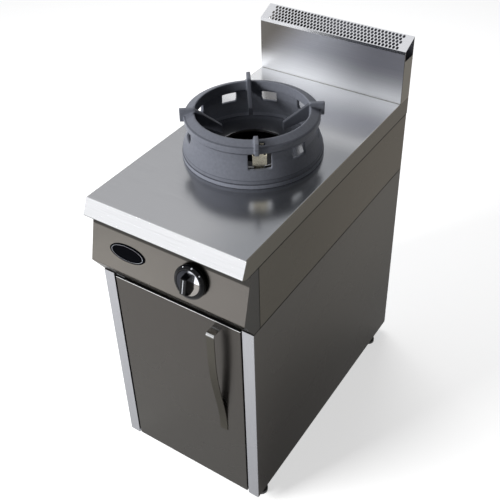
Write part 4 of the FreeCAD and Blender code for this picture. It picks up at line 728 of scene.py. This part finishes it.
class WOKRANGE_OT_module(bpy.types.Operator):
    """Dress the control panel, the badge and the module's sides"""

    bl_idname = "wok_range.module"
    bl_label = "Module Panels"

    def execute(self, context):
        values = finishes()

        def paint_panel(finish):
            # Painted shade darkens the panel towards the right.
            right = finish.share(finish.place("X"), PANEL_LOW.x, PANEL_HIGH.x)
            height = finish.place("Z")
            front = finish.blend(right, values.panel_colour, values.panel_right_shade_colour)
            # Painted shade on the panel's bent foot, and a painted shadow under the worktop's lip.
            foot = finish.share(height, PANEL_LOW.z + 51.5 * MM, PANEL_LOW.z + 49 * MM)
            front = finish.blend(foot, front, values.panel_foot_shade_colour)
            lip_shadow = finish.share(height, WORKTOP_LOW.z - 27.5 * MM, WORKTOP_LOW.z - 24.5 * MM)
            front = finish.wash(lip_shadow, 0.8, front, PAINTED_SHADE_COLOUR)
            # Painted shade in the seam at the back of the cheeks, and on the cheeks themselves.
            seam = finish.band(finish.place("Y"), PANEL_HIGH.y, 1.6 * MM)
            cheek = finish.blend(seam, values.cheek_shade_colour, PAINTED_SHADE_COLOUR)
            return finish.blend(finish.facing("X"), front, cheek)

        def paint_side(finish):
            # Painted reflection, lighter towards the back, and painted shade in the seams at the foot and
            # the head.
            back = finish.share(finish.place("Y"), SIDE_LOW.y, SIDE_HIGH.y)
            side = finish.blend(back, values.side_colour, values.side_back_reflection_colour)
            height = finish.place("Z")
            foot = finish.band(height, SIDE_LOW.z, 1.3 * MM)
            head = finish.band(height, SIDE_HIGH.z, 1.0 * MM)
            return finish.blend(finish.work("MAXIMUM", foot, head), side, PAINTED_SHADE_COLOUR)

        rough = values.steel_roughness
        dress(brushed_steel("panel steel", BRUSHED_ACROSS, rough, paint_panel), "control_panel")
        side = brushed_steel("module side steel", BRUSHED_TO_BACK, rough, paint_side)
        dress(side, "upper_side_right", "upper_side_left")
        self.make_badge()
        return {"FINISHED"}

    def make_badge(self):
        """The plain black oval and the fine bright line round its face."""
        enamel = moulded_plastic("badge enamel", finishes().plastic_colour, roughness=0.2, gloss=0.0)
        dress(enamel, "badge_plate")
        rounded(cad("badge_plate"), sizes().badge_round, 2)
        middle = (BADGE_LOW + BADGE_HIGH) / 2
        half_length = (BADGE_HIGH.x - BADGE_LOW.x) / 2
        half_height = half_length * BADGE_SHAPE
        climb = (middle - KNOB_SEAT).dot(KNOB_UP)
        points = []
        faces = []
        count = len(BADGE_LINE)
        for step in range(BADGE_STEPS):
            angle = math.tau * step / BADGE_STEPS
            here = step * count
            beside = (step + 1) % BADGE_STEPS * count
            for corner, (reach, out) in enumerate(BADGE_LINE):
                across = middle.x - KNOB_SEAT.x + half_length * reach * math.cos(angle)
                up = climb + half_height * (reach - 0.04) * math.sin(angle)
                points.append(knob_point(across, up, BADGE_FACE + out * MM))
                after = (corner + 1) % count
                faces.append((here + corner, beside + corner, beside + after, here + after))
        silver = plated("badge silver", tone(150, 152, 158), roughness=0.25)
        make_piece("badge_line", points, faces, silver, "cabinet", "chrome")


# The knob's gap to the panel and its face, out along its axis.
KNOB_GAP = 4.5 * MM
KNOB_FACE = KNOB_GAP + 11.0 * MM
# The skirt's outline in millimetres, out from its largest radius and over the gap.
SKIRT_OUTLINE = (
    (-1.5, 0.0),
    (-0.4, 0.4),
    (0.0, 1.5),
    (0.0, 5.0),
    (-0.5, 6.5),
    (-1.6, 8.0),
    (-4.4, 10.3),
    (-5.6, 10.9),
    (-7.0, 11.0),
)
# The places in that list of the two ends of the bevel that carries the marks.
BEVEL = slice(5, 7)
# The grip bar's sides lean in and its ends slope, and it sits a little low on the face.
GRIP_DRAFT = 0.8 * MM
GRIP_SLOPE = 5.0 * MM
GRIP_DROP = 1.5 * MM
GRIP_ROUND = 1.4 * MM
# The marks printed on the bevel: angle round the knob, half width and half height in millimetres.
KNOB_MARKS = (
    ("knob_mark_off", 118.0, 1.5, 1.5),
    ("knob_mark_high", 82.0, 1.9, 1.7),
    ("knob_mark_low", 45.0, 1.5, 1.4),
)
MARK_STEPS = 16
PAINT_PROUD = 0.12 * MM


class WOKRANGE_OT_knob(bpy.types.Operator):
    """Make the control knob with its bright disc, grip and setting marks"""

    bl_idname = "wok_range.knob"
    bl_label = "Control Knob"

    def execute(self, context):
        values = sizes()
        gloss = moulded_plastic("knob plastic", finishes().plastic_colour, roughness=0.1, gloss=0.13)
        skirt = [(values.skirt_radius + wide * MM, KNOB_GAP + out * MM) for wide, out in SKIRT_OUTLINE]
        skirt.append((values.disc_radius + 0.8 * MM, KNOB_FACE))
        skirt.append((values.disc_radius + 0.4 * MM, KNOB_FACE - 0.6 * MM))
        body = make_piece("knob_skirt", *turned(skirt), gloss, "knob", "black_plastic")
        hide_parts("control_knob")
        self.make_disc()
        self.make_grip(gloss)
        white = moulded_plastic("mark paint", tone(205, 208, 214), roughness=0.45)
        self.make_pointer(white)
        self.make_marks(skirt[BEVEL], white)
        return {"FINISHED"}

    def make_disc(self):
        """The bright plated disc let into the knob's face."""

        # Painted reflection: the white studio above, the range below, and the grip at its left.
        def paint(finish):
            upper = finish.share(finish.place("Z"), KNOB_SEAT.z + 9.5 * MM, KNOB_SEAT.z + 10.5 * MM)
            plate = finish.blend(upper, tone(118, 115, 112), tone(222, 224, 232))
            left = finish.share(finish.place("X"), KNOB_SEAT.x + 4 * MM, KNOB_SEAT.x - 4 * MM)
            return finish.blend(left, plate, tone(42, 43, 47))

        radius = sizes().disc_radius
        profile = (
            (radius + 0.4 * MM, KNOB_FACE - 1.4 * MM),
            (radius + 0.4 * MM, KNOB_FACE - 0.5 * MM),
            (radius - 0.2 * MM, KNOB_FACE),
            (radius * 0.7, KNOB_FACE + 0.5 * MM),
            (radius * 0.3, KNOB_FACE + 0.8 * MM),
        )
        plating = brushed_steel("knob plating", POLISHED, 0.14, paint)
        make_piece("knob_disc", *turned(profile), plating, "knob", "chrome")

    def make_grip(self, gloss):
        """The grip bar, with straight sides and sloping ends."""
        values = sizes()
        half_length = values.grip_length / 2
        half_width = values.grip_width / 2
        outline = []
        for reach, width, rise in (
            (half_length, half_width, 0.0),
            (half_length, half_width, 2.0 * MM),
            (half_length - GRIP_SLOPE, half_width - GRIP_DRAFT, values.grip_rise),
        ):
            for across, up in ((-width, -reach), (width, -reach), (width, reach), (-width, reach)):
                outline.append(knob_point(across, up - GRIP_DROP, KNOB_FACE + rise))
        faces = [(0, 1, 2, 3), (8, 9, 10, 11), *sides(0, 4), *sides(4, 4)]
        grip = make_piece("knob_grip", outline, faces, gloss, "knob", "black_plastic")
        rounded(grip, GRIP_ROUND, 4)

    def make_pointer(self, white):
        """The fine line along the grip bar's face."""
        values = sizes()
        top = KNOB_FACE + values.grip_rise
        reach = values.grip_length / 2 - GRIP_SLOPE - 2.5 * MM
        line = []
        for out in (top - 0.2 * MM, top + PAINT_PROUD):
            for across, up in ((-0.7, -1), (0.7, -1), (0.7, 1), (-0.7, 1)):
                line.append(knob_point(across * MM, up * reach - GRIP_DROP, out))
        faces = [(0, 1, 2, 3), (4, 5, 6, 7), *sides(0, 4)]
        make_piece("knob_pointer", line, faces, white, "knob", "black_plastic")

    def make_marks(self, bevel, white):
        """A dot and two plain ovals printed on the knob's bevel."""
        low, high = (Vector(corner) for corner in bevel)
        middle = (low + high) / 2
        lean = (high - low).normalized()
        for name, place, half_width, half_height in KNOB_MARKS:
            points = []
            for depth in (-0.1 * MM, PAINT_PROUD):
                for step in range(MARK_STEPS):
                    turn = math.tau * step / MARK_STEPS
                    climb = half_height * MM * math.sin(turn)
                    radius = middle.x + lean.x * climb + depth * lean.y
                    out = middle.y + lean.y * climb - depth * lean.x
                    around = math.radians(place) + half_width * MM * math.cos(turn) / middle.x
                    points.append(knob_point(radius * math.cos(around), radius * math.sin(around), out))
            faces = [tuple(range(MARK_STEPS)), tuple(range(MARK_STEPS, 2 * MARK_STEPS))]
            faces += sides(0, MARK_STEPS)
            make_piece(name, points, faces, white, "knob", "black_plastic")


class WOKRANGE_OT_ring(bpy.types.Operator):
    """Make the cast wok ring with its rounded edges and fillets"""

    bl_idname = "wok_range.ring"
    bl_label = "Wok Ring"

    def execute(self, context):
        casting = bpy.data.objects.new("ring_casting", cad("wok_ring").data.copy())
        context.scene.collection.objects.link(casting)
        skin = casting.modifiers.new("casting skin", "REMESH")
        skin.mode = "VOXEL"
        skin.voxel_size = sizes().cast_cell
        skin.adaptivity = 0.0
        skin.use_smooth_shade = True
        polish = casting.modifiers.new("fettling", "SMOOTH")
        polish.factor = 0.5
        polish.iterations = 3
        thinning = casting.modifiers.new("thinning", "DECIMATE")
        thinning.ratio = 0.3
        context.view_layer.update()
        cast = casting.evaluated_get(context.evaluated_depsgraph_get())
        finished = bpy.data.meshes.new_from_object(cast)
        casting.modifiers.clear()
        casting.data = finished
        finished.shade_smooth()
        finished.materials.clear()
        iron = cast_iron("ring iron", finishes().iron_colour, gloss=0.16, marks=ring_marks)
        finished.materials.append(iron)
        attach(casting, "ring")
        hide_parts("wok_ring")
        return {"FINISHED"}


class WOKRANGE_OT_burner(bpy.types.Operator):
    """Dress the burner, its pilot and the pipes"""

    bl_idname = "wok_range.burner"
    bl_label = "Burner and Pipes"

    def execute(self, context):
        iron = cast_iron("burner iron", tone(26, 26, 28), gloss=0.2)
        brass = plated("burner brass", tone(176, 146, 92), roughness=0.34)
        dull_brass = plated("pilot brass", tone(138, 130, 112), roughness=0.42)
        zinc = plated("zinc plated steel", tone(150, 152, 156), roughness=0.42)
        bright = plated("bright plating", finishes().bracket_colour, roughness=0.26)
        dress(iron, "burner_body", "burner_cap")
        dress(brass, "injector_holder", "tap_body", "tap_bonnet", "tap_plug")
        dress(zinc, "burner_feed", "gas_rail", "pilot_tube", "thermocouple_lead")
        dress(zinc, "burner_rail_front", "burner_rail_rear", "drip_tray", "upper_back_panel")
        dress(dull_brass, "pilot_burner")
        dress(bright, "pilot_bracket", "thermocouple", "tap_spindle")
        return {"FINISHED"}


class WOKRANGE_OT_stand(bpy.types.Operator):
    """Dress the cupboard stand and its feet"""

    bl_idname = "wok_range.stand"
    bl_label = "Stand"

    def execute(self, context):
        values = finishes()

        def paint_side(finish):
            # Painted reflection, lighter towards the back and darker towards the floor, and painted shade
            # in the seam at the top.
            length = finish.place("Y")
            height = finish.place("Z")
            back = finish.share(length, STAND_LOW.y, STAND_HIGH.y)
            head = finish.blend(back, values.stand_colour, values.stand_back_reflection_colour)
            foot = finish.blend(back, values.stand_low_reflection_colour, values.stand_colour)
            side = finish.blend(finish.share(height, STAND_LOW.z, STAND_HIGH.z), foot, head)
            return finish.blend(finish.band(height, STAND_HIGH.z, 1.2 * MM), side, PAINTED_SHADE_COLOUR)

        rough = values.steel_roughness
        # The posts' light tone is a painted reflection.
        post = plain_steel("post steel", values.post_reflection_colour, rough)
        side = brushed_steel("stand side steel", BRUSHED_TO_BACK, rough, paint_side)
        inner = plain_steel("cupboard steel", tone(160, 161, 163), roughness=0.42)
        zinc = bpy.data.materials["zinc plated steel"]
        dress(post, "front_post_right", "front_post_left")
        dress(side, "stand_side_right", "stand_side_left")
        dress(inner, "cupboard_floor", "top_rail", "rear_rail")
        dress(zinc, "stand_back_panel", "hinge_plates", "foot_brackets", "strike_plate")
        dress(bpy.data.materials["bright plating"], "hinge_pins")
        dress(moulded_plastic("catch plastic", tone(28), roughness=0.5), "door_catch")
        foot = moulded_plastic("foot plastic", tone(34), roughness=0.5)
        dress(foot, "foot_front_right", "foot_front_left", "foot_rear_right", "foot_rear_left")
        return {"FINISHED"}


class WOKRANGE_OT_door(bpy.types.Operator):
    """Dress the door and its handle"""

    bl_idname = "wok_range.door"
    bl_label = "Door"

    def execute(self, context):
        values = finishes()

        def paint_door(finish):
            height = finish.place("Z")
            # Painted reflection on the face, changing slightly from top to foot; a painted highlight
            # along the top edge of the front, and painted shadow on the top face.
            down = finish.share(height, DOOR_HIGH.z, DOOR_LOW.z)
            face = finish.blend(down, values.door_colour, values.door_low_colour)
            top = finish.share(height, DOOR_HIGH.z - 2.4 * MM, DOOR_HIGH.z - 1.8 * MM)
            face = finish.blend(top, face, DOOR_TOP_HIGHLIGHT)
            return finish.blend(finish.facing("Z"), face, PAINTED_SHADE_COLOUR)

        def paint_handle(finish):
            # Painted highlight on the handle's top end, and a lighter painted reflection on its sides.
            top = finish.share(finish.place("Z"), HANDLE_TOP - 9 * MM, HANDLE_TOP - 2 * MM)
            strip = finish.blend(top, values.handle_colour, values.handle_top_highlight_colour)
            return finish.blend(finish.facing("X"), strip, values.handle_side_reflection_colour)

        rough = values.steel_roughness
        dress(brushed_steel("door steel", BRUSHED_UP, rough, paint_door, DOOR_MIRROR), "door_skin")
        dress(bpy.data.materials["cupboard steel"], "door_liner")
        dress(brushed_steel("handle steel", BRUSHED_UP, rough, paint_handle), "door_handle")
        dress(moulded_plastic("bush nylon", tone(215), roughness=0.5), "hinge_bushes")
        return {"FINISHED"}


FLOOR_SIZE = 30.0
FLOOR_GLOW = 0.6
# The world's fill goes from left to right between these values of its direction's X.
FILL_LEFT_END = -0.8
FILL_RIGHT_END = 0.5
FILL_COLOUR = (0.97, 0.98, 1.0, 1.0)
WHITE = (1.0, 1.0, 1.0, 1.0)
# Each lamp's place and width, in metres, and where both point.
KEY_LAMP = ((-1.6, -2.7, 1.7), 1.3)
TOP_LAMP = ((-0.9, 1.5, 2.7), 1.6)
LAMPS_AIM = Vector((0, 0, 0.7))
# The camera's place and the shift that frames the range as the photograph does.
CAMERA_PLACE = (850.42 * MM, FRONT_EDGE - 946.31 * MM, TABLE_TOP + 980.86 * MM)
CAMERA_SHIFT = (-0.0072, -0.0846)
SENSOR_WIDTH = 36


class WOKRANGE_OT_studio(bpy.types.Operator):
    """Set up the floor, the lights and the camera"""

    bl_idname = "wok_range.studio"
    bl_label = "Studio"

    def execute(self, context):
        self.make_floor()
        self.make_lights()
        self.make_world()
        self.make_camera()
        context.scene.view_settings.view_transform = "Standard"
        return {"FINISHED"}

    def make_floor(self):
        """Pale paper that glows to the camera and in mirrors, and takes the range's shadow."""
        bpy.ops.mesh.primitive_plane_add(size=FLOOR_SIZE, location=(0, 0, 0))
        floor = bpy.context.object
        floor.name = "studio_floor"
        paper = Finish("studio paper", tone(236), roughness=0.9, gloss=0.0)
        glow = paper.add("ShaderNodeEmission")
        glow.inputs["Strength"].default_value = FLOOR_GLOW
        both = paper.add("ShaderNodeAddShader")
        plain = paper.shader.outputs["BSDF"]
        paper.feed(both.inputs[0], plain)
        paper.feed(both.inputs[1], glow.outputs["Emission"])
        paper.show(plain, both.outputs["Shader"], "Material Output")
        floor.data.materials.append(paper.material)

    def make_lights(self):
        """Two square lamps, which mirrors don't show."""
        values = studio()
        for name, (place, width), power in (
            ("key_light", KEY_LAMP, values.key_power),
            ("top_light", TOP_LAMP, values.top_power),
        ):
            lamp = bpy.data.lights.new(name, "AREA")
            lamp.shape = "SQUARE"
            lamp.size = width
            lamp.energy = power
            item = bpy.data.objects.new(name, lamp)
            item.location = place
            item.visible_glossy = False
            item.rotation_euler = (LAMPS_AIM - item.location).to_track_quat("-Z", "Y").to_euler()
            bpy.context.scene.collection.objects.link(item)

    def make_world(self):
        """White to look at and in mirrors, and a soft fill that is stronger from the left."""
        values = studio()
        world = bpy.data.worlds.new("studio")
        bpy.context.scene.world = world
        world.use_nodes = True
        sky = Nodes(world.node_tree)
        turn = sky.add("ShaderNodeMapRange", interpolation_type="SMOOTHSTEP")
        sky.feed(turn.inputs["Value"], sky.split("Generated", "X"))
        turn.inputs["From Min"].default_value = FILL_LEFT_END
        turn.inputs["From Max"].default_value = FILL_RIGHT_END
        turn.inputs["To Min"].default_value = values.fill_left
        turn.inputs["To Max"].default_value = values.fill_right
        light = sky.tree.nodes["Background"]
        sky.feed(light.inputs["Strength"], turn.outputs["Result"])
        light.inputs["Color"].default_value = FILL_COLOUR
        seen = sky.add("ShaderNodeBackground")
        seen.inputs["Color"].default_value = WHITE
        seen.inputs["Strength"].default_value = 1.0
        sky.show(light.outputs["Background"], seen.outputs["Background"], "World Output")

    def make_camera(self):
        """The photograph's viewing angle."""
        values = studio()
        lens = bpy.data.cameras.new("camera")
        lens.lens = values.lens
        lens.sensor_width = SENSOR_WIDTH
        lens.shift_x, lens.shift_y = CAMERA_SHIFT
        lens.clip_start = 50 * MM
        camera = bpy.data.objects.new("camera", lens)
        look = Vector(
            (
                -math.sin(values.azimuth) * math.cos(values.elevation),
                math.cos(values.azimuth) * math.cos(values.elevation),
                -math.sin(values.elevation),
            )
        )
        level = look.to_track_quat("-Z", "Y").to_matrix()
        camera.rotation_euler = (level @ Matrix.Rotation(-values.roll, 3, "Z")).to_euler()
        camera.location = CAMERA_PLACE
        bpy.context.scene.collection.objects.link(camera)
        bpy.context.scene.camera = camera


class WOKRANGE_PT_sidebar(bpy.types.Panel):
    """Lists the pieces of the wok range"""

    bl_idname = "WOKRANGE_PT_sidebar"
    bl_label = "Wok Range"
    bl_space_type = "VIEW_3D"
    bl_region_type = "UI"
    bl_category = "Wok Range"

    def draw(self, context):
        layout = self.layout
        for step in STEPS:
            layout.operator(step.bl_idname)
        scene = context.scene
        for group in (scene.wok_pieces, scene.wok_finishes, scene.wok_studio):
            box = layout.box()
            for name in group.__annotations__:
                box.prop(group, name)


STEPS = (
    WOKRANGE_OT_worktop,
    WOKRANGE_OT_flue,
    WOKRANGE_OT_module,
    WOKRANGE_OT_knob,
    WOKRANGE_OT_ring,
    WOKRANGE_OT_burner,
    WOKRANGE_OT_stand,
    WOKRANGE_OT_door,
    WOKRANGE_OT_studio,
)
CLASSES = (WokRangeFinishes, WokRangePieces, WokRangeStudio, *STEPS, WOKRANGE_PT_sidebar)


def register():
    for item in CLASSES:
        bpy.utils.register_class(item)
    bpy.types.Scene.wok_finishes = PointerProperty(type=WokRangeFinishes)
    bpy.types.Scene.wok_pieces = PointerProperty(type=WokRangePieces)
    bpy.types.Scene.wok_studio = PointerProperty(type=WokRangeStudio)


def unregister():
    del bpy.types.Scene.wok_studio
    del bpy.types.Scene.wok_pieces
    del bpy.types.Scene.wok_finishes
    for item in reversed(CLASSES):
        bpy.utils.unregister_class(item)


def main():
    register()
    bpy.ops.wok_range.worktop()
    bpy.ops.wok_range.flue()
    bpy.ops.wok_range.module()
    bpy.ops.wok_range.knob()
    bpy.ops.wok_range.ring()
    bpy.ops.wok_range.burner()
    bpy.ops.wok_range.stand()
    bpy.ops.wok_range.door()
    bpy.ops.wok_range.studio()


if __name__ == "__main__":
    main()
